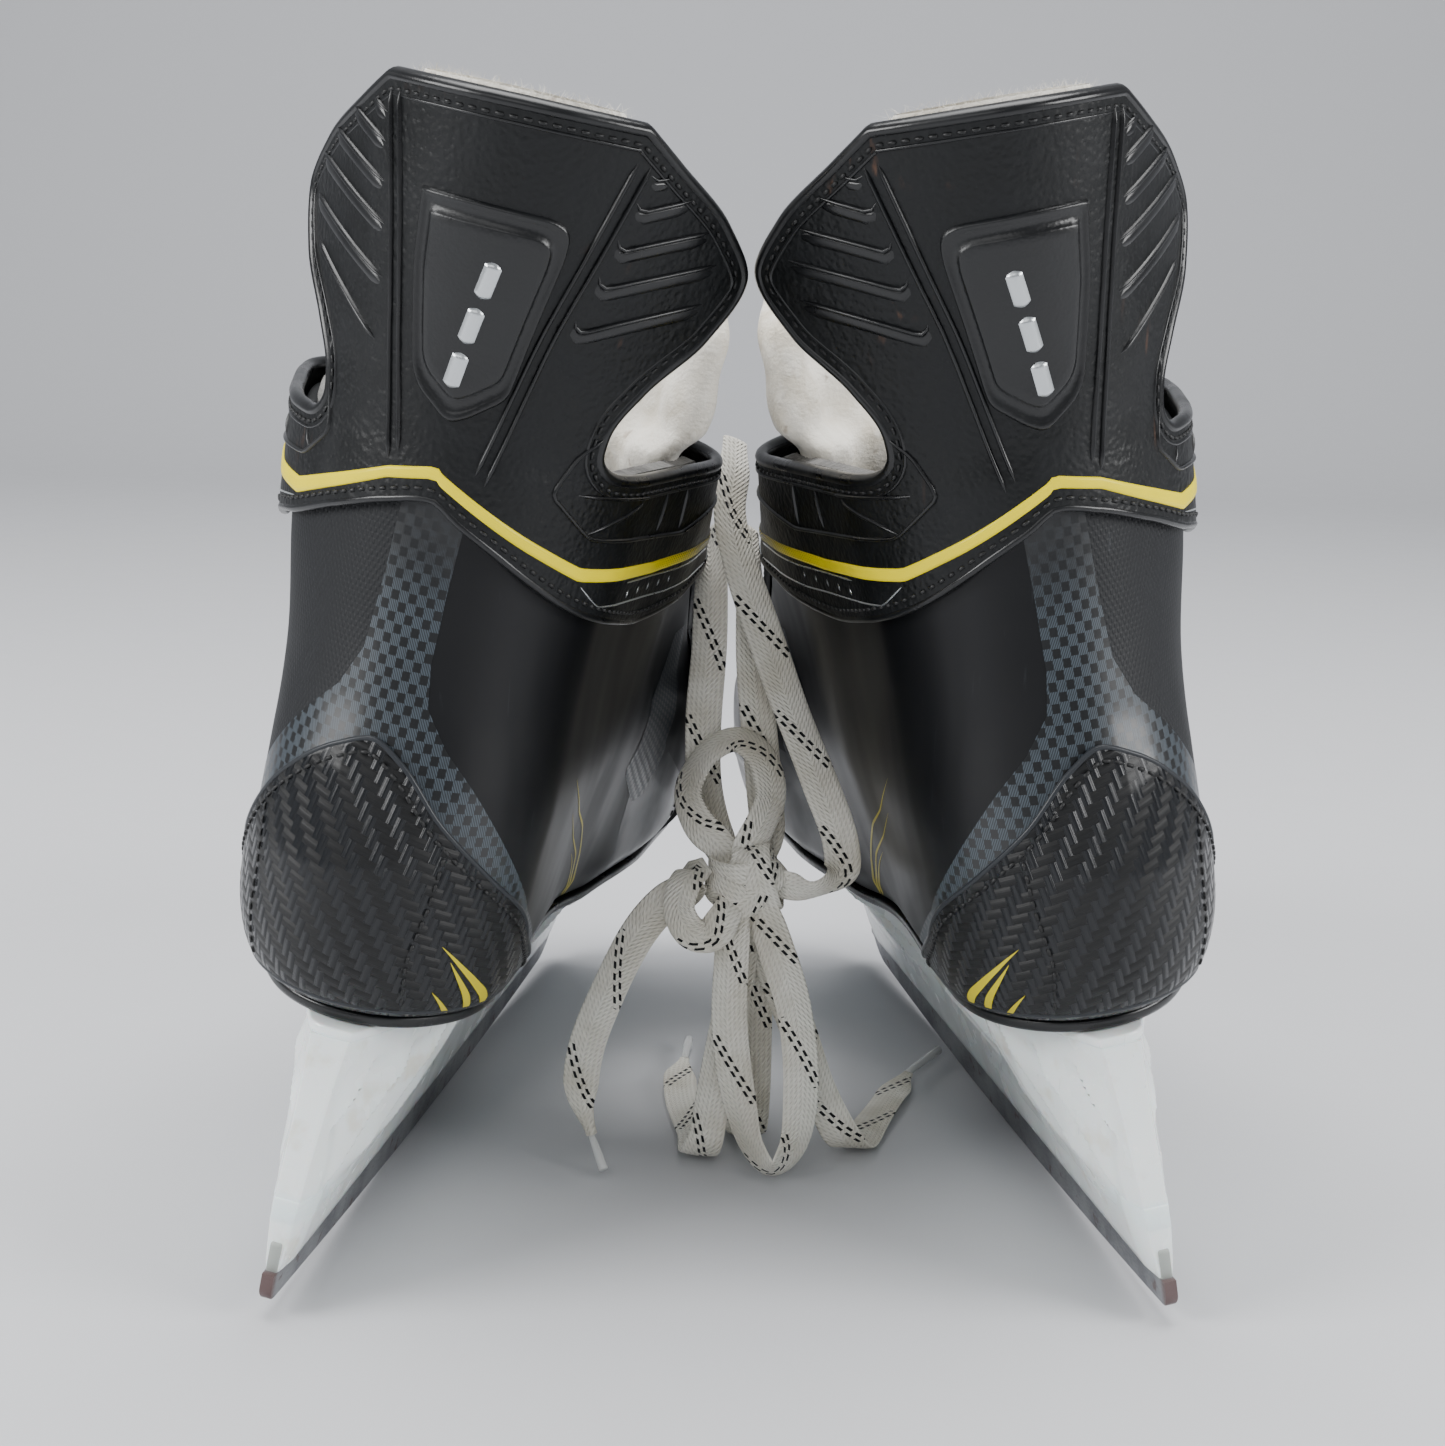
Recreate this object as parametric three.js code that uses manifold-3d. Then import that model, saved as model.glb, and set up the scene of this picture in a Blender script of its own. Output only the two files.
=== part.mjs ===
/*
 * A pair of ice hockey skates, standing on their runners, leaning on each other at the collars
 * and tied together by their laces.
 *
 * Object frame: millimetres, +Z up, the ice at z = 0, heels toward -Y, toes toward +Y.
 * Skate frame: x forward from the rear end of the runner, y to the left, z up from the ice,
 * with m = +1 or -1 turning "toward the other skate" (medial) into +y or -y.
 */
import * as THREE from 'three';
import { mergeVertices } from 'three/addons/utils/BufferGeometryUtils.js';
import Module from 'manifold-3d';

const wasm = await Module();
wasm.setup();

// ---------------------------------------------------------------- driving dimensions
const DEG = Math.PI / 180;
const GAP = 0.35;
/** Clearance under a piece that lies over another: the gap and what flat facets take from it. */
const LAYER = 1.0;
/** Angular step of the boot's columns, shared by every layer so that their facets stay parallel. */
const STEP = 0.0625;

/** How each skate stands: heel end of the runner on the ice, toe-in and lean, all toward the middle. */
const STANCE = {
  left: { x: -109, y: -4, toeIn: 9.0, lean: 11.2 },
  right: { x: 109, y: 4, toeIn: 11.0, lean: 10.4 },
};
const SHIFT = new THREE.Vector3(0.22, -142.81, 0);

const RUNNER = { length: 286, thickness: 3, height: 22, rocker: 2600, middle: 150, corner: 16 };
const HOLDER = { lip: 9.5, bar: 30, lipHalf: 4.6, barHalf: 5.6, slotTop: 23 };
const SOLE = { heel: 70, ball: 68, thickness: 3.4, breast: 128, tread: 158, spring: 3 };
const SHELL = { outer: 0, inner: -3.4 };
const HEEL_ARC = 36;
const COLLAR = { outer: 3.2, top: 208 };
const LINING = 3.6;
const TOE_CAP = { inner: -2.8, outer: 0.8, top: 137 };
const HEEL_PANEL_OUTER = 2.6;
const EYESTAY = { rear: 0.835, front: 0.9, low: 146, high: 174, inner: 1.5, outer: 2.9 };
const GUARD = { foot: 208.4, top: 287, thickness: 4.6, lining: 4.4 };
const TONGUE = { foot: 134, split: 213, lower: 6.7, facing: 2.1, felt: 8.6, facingTop: 258, feltTop: 252 };

/** Boot side profile: height, back of the boot, front of the boot (toe, then instep), front rounding. */
const PROFILE = [
  [73.5, 20, 295, 52],
  [80, 13, 301, 54],
  [93, 9.5, 304, 54],
  [108, 9, 301, 52],
  [120, 10.5, 289, 48],
  [130, 12.5, 263, 42],
  [138, 14.5, 234, 36],
  [150, 17, 208, 32],
  [170, 19.5, 180, 32],
  [190, 20.5, 157, 32],
  [214, 20, 134, 32],
];

/** Boot half width at stations along the foot, for several heights. */
const STATIONS = [30, 75, 120, 165, 210, 250, 295];
const WIDTHS = [
  [73.5, [27.5, 28.5, 27, 32, 37, 37, 28]],
  [83, [32, 33, 32, 38, 43, 42, 32]],
  [96, [34, 35, 35, 39, 44, 43, 32]],
  [115, [34.5, 37, 38, 41, 43.5, 41, 29]],
  [130, [34.5, 38.5, 41, 42, 41, 36, 24]],
  [150, [33.5, 40, 44.5, 44.5, 40, 33, 20]],
  [180, [34, 44, 51, 50.5, 42, 30, 18]],
  [214, [34, 46.5, 54.5, 54, 43, 30, 18]],
];

// ---------------------------------------------------------------- small maths
/** Monotone cubic through [t, value] pairs. */
function curve(xs, ys, x) {
  const n = xs.length;
  if (x <= xs[0]) return ys[0];
  if (x >= xs[n - 1]) return ys[n - 1];
  let i = 0;
  while (x > xs[i + 1]) i++;
  const slope = (j) => (ys[j + 1] - ys[j]) / (xs[j + 1] - xs[j]);
  const tangent = (j) => {
    if (j === 0) return slope(0);
    if (j === n - 1) return slope(n - 2);
    const before = slope(j - 1);
    const after = slope(j);
    return before * after <= 0 ? 0 : (2 * before * after) / (before + after);
  };
  const h = xs[i + 1] - xs[i];
  const t = (x - xs[i]) / h;
  const a = tangent(i) * h;
  const b = tangent(i + 1) * h;
  const d = ys[i + 1] - ys[i];
  return ys[i] + t * (a + t * (3 * d - 2 * a - b + t * (a + b - 2 * d)));
}

const column = (rows, k) => rows.map((row) => row[k]);
const clamp = (x, lo, hi) => Math.min(hi, Math.max(lo, x));
const smooth = (x, lo, hi) => THREE.MathUtils.smoothstep(x, lo, hi);

const HEIGHTS = column(PROFILE, 0);
const WIDTH_HEIGHTS = column(WIDTHS, 0);

const backAt = (z) => curve(HEIGHTS, column(PROFILE, 1), z);
const frontAt = (z) => curve(HEIGHTS, column(PROFILE, 2), z);
const roundAt = (z) => curve(HEIGHTS, column(PROFILE, 3), z);

function halfWidth(x, z) {
  const atHeights = WIDTHS.map((row) => curve(STATIONS, row[1], x));
  return curve(WIDTH_HEIGHTS, atHeights, z);
}

/** Centre line of the foot: straight heel, lateral waist, toe turned a little to the medial side. */
const centreLine = (x, z) =>
  curve([40, 120, 210, 300], [0, -2, -1, 2], x) - smooth(z, 120, 190) * curve([20, 70, 120], [0.5, 5, 6.5], x);

/** Underside of the sole along the foot. */
function soleUnder(x) {
  const arch = smooth(x, SOLE.breast, SOLE.tread);
  return SOLE.heel + (SOLE.ball - SOLE.heel) * arch + SOLE.spring * smooth(x, 282, 306);
}

// ---------------------------------------------------------------- boot surface
/**
 * A point of the boot's outer surface: u from -1 to 1 (0 heel, 1 toe, the sign is the side) at
 * nominal height z.
 */
function bootSkin(u, z) {
  const s = Math.abs(u);
  const back = backAt(z);
  const front = frontAt(z);
  const rounding = roundAt(z);
  let x;
  let swing = 1;
  if (s < 0.25) {
    const angle = (s / 0.25) * (Math.PI / 2);
    x = back + HEEL_ARC * (1 - Math.cos(angle));
    swing = Math.sin(angle);
  } else if (s < 0.75) {
    x = back + HEEL_ARC + ((s - 0.25) / 0.5) * (front - rounding - back - HEEL_ARC);
  } else {
    const angle = ((1 - s) / 0.25) * (Math.PI / 2);
    x = front - rounding * (1 - Math.cos(angle));
    swing = Math.sin(angle);
  }
  const y = centreLine(x, z) + Math.sign(u) * halfWidth(x, z) * swing;
  const drop = (soleUnder(x) - SOLE.heel) * clamp(1 - (z - 73.5) / 60, 0, 1);
  return new THREE.Vector3(x, y, z + drop);
}

/** The boot surface moved out along its normal. */
function bootPoint(u, z, offset) {
  const du = 0.004;
  const dz = 0.6;
  const along = bootSkin(u + du, z).sub(bootSkin(u - du, z));
  const up = bootSkin(u, z + dz).sub(bootSkin(u, z - dz));
  const normal = new THREE.Vector3().crossVectors(along, up).normalize();
  return bootSkin(u, z).addScaledVector(normal, -offset);
}

// ---------------------------------------------------------------- guard surface
const GUARD_HALF = [
  [208, 33], [218, 34], [229, 39], [243, 48], [258, 52.5], [270, 47], [281, 36], [287, 29.5],
];
const guardHalf = (z) => curve(column(GUARD_HALF, 0), column(GUARD_HALF, 1), z);
const guardBack = (z) => curve([200, 208, 225, 250, 270, 290], [17.3, 17, 15, 9, 4, -1], z);
const guardCentre = (z) => curve([208, 230, 258, 287], [-1.5, -1, 1, 2.5], z);
const guardBow = (z) => curve([208, 230, 290], [0.0165, 0.0155, 0.016], z);

/** A point of the guard: y across, z up, depth measured forward from its rear face. */
function guardPoint(y, z, depth) {
  const slope = 2 * guardBow(z) * y;
  const lean = (guardBack(z + 1) - guardBack(z - 1)) / 2;
  const normal = new THREE.Vector3(1, -slope, -lean).normalize();
  const x = guardBack(z) + guardBow(z) * y * y;
  return new THREE.Vector3(x, y + guardCentre(z), z).addScaledVector(normal, depth);
}

// ---------------------------------------------------------------- closed solids
/** Collects points and triangles of one closed body in a skate's unsided frame. */
class Body {
  constructor() {
    this.points = [];
    this.faces = [];
  }

  grid(nu, nv, at) {
    const first = this.points.length;
    for (let i = 0; i <= nu; i++) {
      for (let j = 0; j <= nv; j++) this.points.push(at(i / nu, j / nv));
    }
    return (i, j) => first + i * (nv + 1) + j;
  }

  quad(a, b, c, d) {
    this.faces.push([a, b, c], [a, c, d]);
  }

  geometry(mirror = 1) {
    const geometry = new THREE.BufferGeometry();
    const flat = this.points.flatMap((p) => [p.x, p.y * mirror, p.z]);
    geometry.setAttribute('position', new THREE.Float32BufferAttribute(flat, 3));
    geometry.setIndex(this.faces.flatMap(([a, b, c]) => (mirror > 0 ? [a, b, c] : [a, c, b])));
    return geometry;
  }
}

/** Swaps the winding of every face when the body came out inside out. */
function facingOut(body) {
  let volume = 0;
  for (const [a, b, c] of body.faces) {
    const [p, q, r] = [body.points[a], body.points[b], body.points[c]];
    volume += p.dot(new THREE.Vector3().crossVectors(q, r));
  }
  if (volume < 0) body.faces = body.faces.map(([a, b, c]) => [a, c, b]);
  return body;
}

/** A sheet between two surfaces given over the unit square, closed by its four edges. */
function sheet(nu, nv, front, back) {
  const body = new Body();
  const f = body.grid(nu, nv, front);
  const g = body.grid(nu, nv, back);
  for (let i = 0; i < nu; i++) {
    for (let j = 0; j < nv; j++) {
      body.quad(f(i, j), f(i + 1, j), f(i + 1, j + 1), f(i, j + 1));
      body.quad(g(i, j), g(i, j + 1), g(i + 1, j + 1), g(i + 1, j));
    }
  }
  for (let i = 0; i < nu; i++) {
    body.quad(f(i, 0), g(i, 0), g(i + 1, 0), f(i + 1, 0));
    body.quad(f(i, nv), f(i + 1, nv), g(i + 1, nv), g(i, nv));
  }
  for (let j = 0; j < nv; j++) {
    body.quad(f(0, j), f(0, j + 1), g(0, j + 1), g(0, j));
    body.quad(f(nu, j), g(nu, j), g(nu, j + 1), f(nu, j + 1));
  }
  return facingOut(body);
}

/** A sheet on the boot surface: where(a, b) gives [u, z], between two offsets. */
function bootSheet(nu, nv, where, inner, outer) {
  const at = (offset) => (a, b) => bootPoint(...where(a, b), offset);
  return sheet(nu, nv, at(outer), at(inner));
}

/** A stack of closed outlines, each a list of points, capped by strips across them. */
function stack(outlines) {
  const body = new Body();
  const n = outlines[0].length;
  outlines.forEach((outline) => body.points.push(...outline));
  for (let k = 0; k + 1 < outlines.length; k++) {
    for (let i = 0; i < n; i++) {
      const j = (i + 1) % n;
      body.quad(k * n + i, k * n + j, (k + 1) * n + j, (k + 1) * n + i);
    }
  }
  const top = (outlines.length - 1) * n;
  for (let i = 0; i < n / 2 - 1; i++) {
    const [a, b, c, d] = [i, i + 1, n - 2 - i, n - 1 - i];
    body.quad(a, d, c, b);
    body.quad(top + a, top + b, top + c, top + d);
  }
  return facingOut(body);
}

// ---------------------------------------------------------------- booleans
function toManifold(geometry) {
  const bare = geometry.clone();
  bare.deleteAttribute('normal');
  bare.deleteAttribute('uv');
  const merged = mergeVertices(bare, 1e-4);
  const vertProperties = new Float32Array(merged.attributes.position.array);
  const triVerts = new Uint32Array(merged.index.array);
  return new wasm.Manifold(new wasm.Mesh({ numProp: 3, vertProperties, triVerts }));
}

function fromManifold(solid) {
  const mesh = solid.getMesh();
  const geometry = new THREE.BufferGeometry();
  geometry.setAttribute('position', new THREE.Float32BufferAttribute(mesh.vertProperties, 3));
  geometry.setIndex([...mesh.triVerts]);
  return geometry;
}

// ---------------------------------------------------------------- boot pieces
/** Front edge of the quarter: ahead of the ball below, along the throat above. */
const QUARTER_EDGE = [
  [74, 0.69], [104, 0.69], [118, 0.71], [127, 0.76], [136, 0.84], [146, 0.89], [214, 0.9],
];
const quarterEdge = (z) => curve(column(QUARTER_EDGE, 0), column(QUARTER_EDGE, 1), z);
const spread = (a) => 2 * a - 1;
const mix = (lo, hi, t) => lo + (hi - lo) * t;

/** Side coordinate of column k: shared columns to 0.625, the last three reach to the given edge. */
function ring(k, edge) {
  const s = Math.abs(k) * STEP;
  return Math.sign(k) * (s <= 0.625 ? s : mix(0.625, edge, (s - 0.625) / (3 * STEP)));
}

/** A piece of boot wall with columns -half to half: levels(s) gives a column's heights. */
function wall(half, levels, edge, inner, outer) {
  const rows = levels(0).length - 1;
  const where = (a, b) => {
    const k = Math.round(spread(a) * half);
    const z = levels(Math.abs(ring(k, edge(150))))[Math.round(b * rows)];
    return [ring(k, edge(z)), z];
  };
  return bootSheet(2 * half, rows, where, inner, outer);
}

const always = (value) => () => value;

/** Heights shared by the layers of the wall, closer where it tucks in under the foot. */
const LEVELS = [74.3, 79, 85, 93, 104, 118, 134, 154, 178, 203];

const quarterShell = () => wall(13, always(LEVELS), quarterEdge, SHELL.inner, SHELL.outer);

const liner = () => {
  const outer = SHELL.inner - LAYER;
  return wall(11, always(LEVELS.slice(1)), always(0.8125), outer - LINING, outer);
};

function toeCap() {
  const where = (a, b) => {
    const z = mix(LEVELS[0], TOE_CAP.top, b ** 0.85);
    const reach = 1 - quarterEdge(z) - 0.011;
    const t = spread(a);
    return [Math.sign(t || 1) * (1 - Math.abs(t) * reach), z];
  };
  return bootSheet(14, 7, where, TOE_CAP.inner, TOE_CAP.outer);
}

/** Lower edge of the stitched collar: high at the back, lowest below each dip. */
const COLLAR_EDGE = [[0, 197], [0.1, 196], [0.3, 186], [0.45, 173], [0.55, 170], [0.75, 176], [0.9, 178]];
const collarEdge = (s) => curve(column(COLLAR_EDGE, 0), column(COLLAR_EDGE, 1), s);

const collar = () => {
  const levels = (s) => [0, 0.5, 1].map((t) => mix(collarEdge(s), COLLAR.top, t));
  return wall(13, levels, always(0.9), 1.3 * LAYER, COLLAR.outer);
};

/** Upper edge of the heel panel: a pointed shield around the heel. */
const PANEL_EDGE = [[0, 141], [0.05, 139], [0.15, 124], [0.25, 106], [0.34, 92], [0.375, 86]];
const panelEdge = (s) => curve(column(PANEL_EDGE, 0), column(PANEL_EDGE, 1), s);

const heelPanel = () => {
  const [, low] = LEVELS;
  const levels = (s) => [low - 2, ...[0, 0.12, 0.3, 0.62, 1].map((t) => mix(low, panelEdge(s), t))];
  return wall(6, levels, always(0.8), LAYER, HEEL_PANEL_OUTER);
};

function eyestay(side) {
  const where = (a, b) => [side * mix(EYESTAY.rear, EYESTAY.front, a), mix(EYESTAY.low, EYESTAY.high, b)];
  return bootSheet(2, 4, where, EYESTAY.inner, EYESTAY.outer);
}

function tongueLower() {
  const where = (a, b) => {
    const z = mix(TONGUE.foot, TONGUE.split - GAP, b);
    const t = spread(a);
    return [Math.sign(t || 1) * (1 - Math.abs(t) * 0.2), z];
  };
  const outer = SHELL.inner - 2.8 * LAYER;
  return bootSheet(12, 5, where, outer - TONGUE.lower, outer);
}

/** One level of a footprint, both sides, offset from the boot surface at height z. */
function footprint(count, z, offset, height) {
  const outline = [];
  for (const side of [1, -1]) {
    for (let i = 0; i < count; i++) {
      const s = side > 0 ? (i + 0.35) / count : (count - 1 - i + 0.35) / count;
      const p = bootPoint(side * clamp(s, 0.02, 0.985), z, offset);
      outline.push(new THREE.Vector3(p.x, p.y, height(p.x)));
    }
  }
  return outline;
}

function outsole() {
  return stack([
    footprint(16, 73.5, -0.6, (x) => soleUnder(x)),
    footprint(16, 73.5, 1.4, (x) => soleUnder(x) + 1.2),
    footprint(16, 73.5, 1.4, (x) => soleUnder(x) + SOLE.thickness),
  ]);
}

function footbed() {
  const top = (x) => soleUnder(x) + SOLE.thickness;
  return stack([
    footprint(10, 79, -13, (x) => top(x) + 0.6),
    footprint(10, 79, -13, (x) => top(x) + 4.6),
  ]);
}

// ---------------------------------------------------------------- guard and tongue top
function guardSheet(nu, nv, from, to, margin) {
  const at = (depth) => (a, b) => {
    const z = mix(GUARD.foot + margin * 0.3, GUARD.top - margin, b);
    return guardPoint(spread(a) * (guardHalf(z) - margin), z, depth);
  };
  return sheet(nu, nv, at(from), at(to));
}

const tendonGuard = () => guardSheet(12, 8, 0, GUARD.thickness, 0);
const guardLining = () =>
  guardSheet(12, 6, GUARD.thickness + 1.4 * LAYER, GUARD.thickness + LAYER + GUARD.lining, 3);

/** Section of the tongue above the collar: an arc across the shin, leaning forward. */
function tonguePoint(a, z, depth) {
  const angle = spread(a) * 76 * DEG;
  const rise = z - TONGUE.split;
  const half = 47 + 1.5 * Math.sin((rise / 45) * Math.PI / 2) - depth;
  const nose = 128 + rise * 0.18 - depth;
  const reach = 44 - depth;
  return new THREE.Vector3(nose - reach * (1 - Math.cos(angle)), half * Math.sin(angle) - 1.5, z);
}

function tongueTop(from, to, top) {
  const at = (depth) => (a, b) => {
    const edge = top - 16 * Math.abs(spread(a)) ** 3;
    return tonguePoint(a, mix(TONGUE.split, edge, b), depth);
  };
  return sheet(10, 4, at(from), at(to));
}

// ---------------------------------------------------------------- holder and runner
/** A faceted tower level: flat rear and front faces, widest between. */
function towerLevel(z, rear, rearHalf, x1, half1, x2, half2, front, frontHalf) {
  const side = [[rear, rearHalf], [x1, half1], [x2, half2], [front, frontHalf]];
  const across = side.map(([x, y]) => new THREE.Vector3(x, y, z));
  const back = side.map(([x, y]) => new THREE.Vector3(x, -y, z)).reverse();
  return [...across, ...back];
}

const REAR_TOWER = [
  [20, 2.5, 3.6, 34, 5.6, 86, 5.6, 116, 4.8],
  [34, 5.5, 4.0, 36, 8.5, 84, 8.0, 112, 5.0],
  [52, 10.5, 4.6, 38, 16, 84, 14.5, 112, 5.8],
  [62, 13.5, 6.5, 38, 20.5, 88, 18.5, 118, 8],
  [67.2, 15, 9, 38, 21.5, 90, 19.5, 120, 9],
];
const FRONT_TOWER = [
  [20, 168, 4.8, 190, 5.6, 255, 5.6, 283.5, 3.6],
  [34, 168, 5.0, 192, 8.5, 256, 8.0, 282, 4.0],
  [50, 165, 6.0, 192, 17, 258, 15, 283, 5.5],
  [60, 162, 10, 190, 27, 258, 25, 286, 10],
  [65.2, 161, 11, 190, 28.5, 260, 26.5, 288, 11],
];

const REAR_FLANGE = [15, 10, 36, 27.5, 96, 26, 127, 15];
const FRONT_FLANGE = [156, 18, 188, 34.5, 262, 32.5, 291, 15];
const FLANGE = 2.8;

/** The flat plate that a tower is riveted to the sole by. */
function flange(outline, top) {
  return toManifold(stack([towerLevel(top - FLANGE, ...outline), towerLevel(top, ...outline)]).geometry());
}

function bar() {
  const { lip, bar: top, lipHalf, barHalf } = HOLDER;
  const level = (z, rear, front, half) => towerLevel(z, rear, 3.2, 20, half, 268, half, front, 3.2);
  return stack([level(lip, 6, 280, lipHalf), level(18, 3, 283.5, lipHalf), level(top, 4, 283, barHalf)]);
}

function boxSolid(x0, x1, half, z0, z1) {
  const geometry = new THREE.BoxGeometry(x1 - x0, 2 * half, z1 - z0);
  return geometry.translate((x0 + x1) / 2, 0, (z0 + z1) / 2);
}

function bladeHolder() {
  const tower = (rows) => toManifold(stack(rows.map((row) => towerLevel(...row))).geometry());
  const slot = toManifold(boxSolid(-5, 300, RUNNER.thickness / 2 + 0.3, 0, HOLDER.slotTop));
  const towers = tower(REAR_TOWER).add(tower(FRONT_TOWER));
  const flanges = flange(REAR_FLANGE, SOLE.heel - GAP).add(flange(FRONT_FLANGE, SOLE.ball - GAP));
  const body = toManifold(bar().geometry()).add(towers).add(flanges);
  return fromManifold(body.subtract(slot));
}

/** Height of the runner's lower edge: a rockered arc with rounded ends. */
function runnerEdge(x) {
  const { length, rocker, middle, corner } = RUNNER;
  const rise = rocker - Math.sqrt(rocker ** 2 - (x - middle) ** 2);
  const past = Math.max(0, corner - x, x - length + corner);
  return rise + corner - Math.sqrt(corner ** 2 - past ** 2);
}

/** The steel: its lower strip stands clear of the holder, the rest sits in the holder's slot. */
function runner() {
  const { length, thickness, height, corner } = RUNNER;
  const ends = [0, 0.08, 0.3, 0.62].map((t) => t * corner);
  const spans = Array.from({ length: 15 }, (_, i) => mix(corner, length - corner, i / 14));
  const columns = [...ends, ...spans, ...ends.map((x) => length - x).reverse()];
  const half = thickness / 2;
  const at = (y) => (a, b) => {
    const x = columns[Math.round(a * (columns.length - 1))];
    const low = runnerEdge(x);
    const z = [low, Math.max(HOLDER.lip - 0.5, low + 0.4), height][Math.round(b * 2)];
    return new THREE.Vector3(x, y, z);
  };
  return sheet(columns.length - 1, 2, at(half), at(-half));
}

const RIVETS = [[44, 24.6], [88, 23.6], [196, 31.6], [254, 30]];

function rivet(x, y, top) {
  const geometry = new THREE.CylinderGeometry(2.2, 1.6, 1.2, 8);
  return geometry.rotateX(Math.PI / 2).translate(x, y, top - 0.6);
}

// ---------------------------------------------------------------- laces
const LACE = { radius: 1.8, held: 1.3, step: 9 };

function section(radius, sides) {
  const corner = (i) => (2 * Math.PI * (i + 0.5)) / sides;
  const at = (i) => new THREE.Vector2(radius * Math.cos(corner(i)), radius * Math.sin(corner(i)));
  return new THREE.Shape(Array.from({ length: sides }, (_, i) => at(i)));
}

function cord(points, radius, sides, stepLength) {
  const path = new THREE.CatmullRomCurve3(points.map((p) => new THREE.Vector3(...p)), false, 'centripetal');
  const steps = Math.max(4, Math.round(path.getLength() / stepLength));
  return new THREE.ExtrudeGeometry(section(radius, sides), { steps, extrudePath: path, bevelEnabled: false });
}

/** Criss-cross lacing between the two rows of eyelets, over the tongue, as one body. */
function lacing(m) {
  const rows = [144, 158, 172, 186, 199];
  const strand = (first) => {
    const points = [];
    rows.forEach((z, i) => {
      const side = first * (i % 2 ? -1 : 1);
      const last = i + 1 === rows.length;
      if (i > 0) points.push(bootPoint(side * 0.93, z - 4, 3.4));
      points.push(bootPoint(side * 0.875, z, 6.2));
      if (!last) points.push(bootPoint(side * 0.93, z + 4, 3.4), bootPoint(1, z + 7, 0));
    });
    const placed = points.map((p) => [p.x, m * p.y, p.z]);
    return toManifold(cord(placed, LACE.held, 5, 13));
  };
  return fromManifold(strand(1).add(strand(-1)));
}

/** Free lace routes in the object frame: the runs from each throat, the bows and the four ends. */
const CORDS = {
  lace_run_left: [[-7, -3, 171], [-7, -13, 158], [-7, -20, 141], [-8, -24, 120], [-7, -24, 101], [-3, -30, 87]],
  lace_run_right: [[4, -2, 171], [4, -12, 158], [5, -20, 141], [7, -24, 122], [9, -24, 104], [11, -32, 89.5]],
  lace_run_cross: [
    [-1, -5, 196], [-1, -13, 189], [-2, -20, 178], [1, -24, 165], [8, -28, 146], [15, -31, 128],
    [24, -36, 107], [30, -40, 91], [30, -43, 83], [24, -43, 79], [17, -40.5, 79],
  ],
  lace_bow_upper: [
    [-1.5, -38, 90], [-8, -36, 95], [-11.5, -33, 103], [-7, -30, 112], [1, -29, 116], [8, -30, 112],
    [10.5, -34, 103], [7, -39, 95], [4, -40.5, 91],
  ],
  lace_bow_small: [
    [-7.5, -44, 83], [-11, -47, 80], [-12, -49, 75], [-9, -50.5, 70], [-4, -50.5, 69], [-1, -49, 73],
  ],
  lace_bow_long: [
    [1, -43, 69.5], [1, -47, 58], [1, -50, 42], [5, -53, 22], [10, -56, 9], [16, -58, 3.6], [22, -56, 9],
    [25, -53, 25], [22, -49, 47], [15, -45, 65], [12, -43, 71],
  ],
  lace_end_a: [
    [-8.5, -40, 79], [-17, -42, 74], [-24, -44, 66], [-32, -46, 50], [-38, -48, 33], [-39, -50, 20],
    [-36, -51.5, 10],
  ],
  lace_end_b: [
    [4, -38, 69.5], [3, -40, 55], [0, -43, 38], [-3, -47, 20], [-5, -50, 8], [-7, -46, 3.4],
    [-8, -31, 3], [-12, -3, 3], [-13, 15, 3], [-12, 29, 3],
  ],
  lace_end_c: [
    [9, -38, 69.8], [13, -39, 55], [20, -40, 38], [27, -42, 20], [33, -43, 8], [37, -38, 3.4],
    [43, -18, 3], [50, 4, 3], [56, 21, 3],
  ],
  lace_end_d: [
    [8, -32, 71.5], [8, -33, 55], [8, -35, 35], [8, -37, 15], [7.5, -34, 5], [6, -27, 3],
    [4, -9, 3], [3, 1, 3],
  ],
};

/** Lace tips: a short stiff tube from one point to another. */
const AGLETS = {
  aglet_a: [[-35.6, -52, 9], [-32.5, -57, 3]],
  aglet_b: [[-11.9, 30, 3], [-11, 45, 3]],
  aglet_c: [[56.6, 22.4, 3], [66.5, 41, 3]],
  aglet_d: [[2.95, 2, 3], [2, 17, 3]],
};

function aglet([from, to]) {
  const path = new THREE.LineCurve3(new THREE.Vector3(...from), new THREE.Vector3(...to));
  return new THREE.ExtrudeGeometry(section(1.4, 8), { steps: 1, extrudePath: path, bevelEnabled: false });
}

const KNOT = { centre: [4, -39, 80], radii: [10, 7.5, 8] };

function knot() {
  const ball = new THREE.SphereGeometry(1, 12, 8);
  return ball.scale(...KNOT.radii).translate(...KNOT.centre);
}

// ---------------------------------------------------------------- assembly
const COLOURS = {
  shell: ['#17181a', 0.42, 0],
  polymer: ['#1d1e20', 0.55, 0],
  carbon: ['#141518', 0.3, 0.1],
  felt: ['#e4e0d4', 0.95, 0],
  lining: ['#55565a', 0.95, 0],
  holder: ['#dfeae8', 0.3, 0],
  steel: ['#6f7377', 0.35, 1],
  rivet: ['#8d9094', 0.4, 1],
  lace: ['#cfcabb', 0.9, 0],
  aglet: ['#c9ccd0', 0.35, 0.2],
};

const materials = Object.fromEntries(
  Object.entries(COLOURS).map(([key, [color, roughness, metalness]]) => [
    key,
    new THREE.MeshStandardMaterial({ color, roughness, metalness }),
  ]),
);

function named(name, geometry, material) {
  const mesh = new THREE.Mesh(geometry, materials[material]);
  mesh.name = name;
  return mesh;
}

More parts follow.
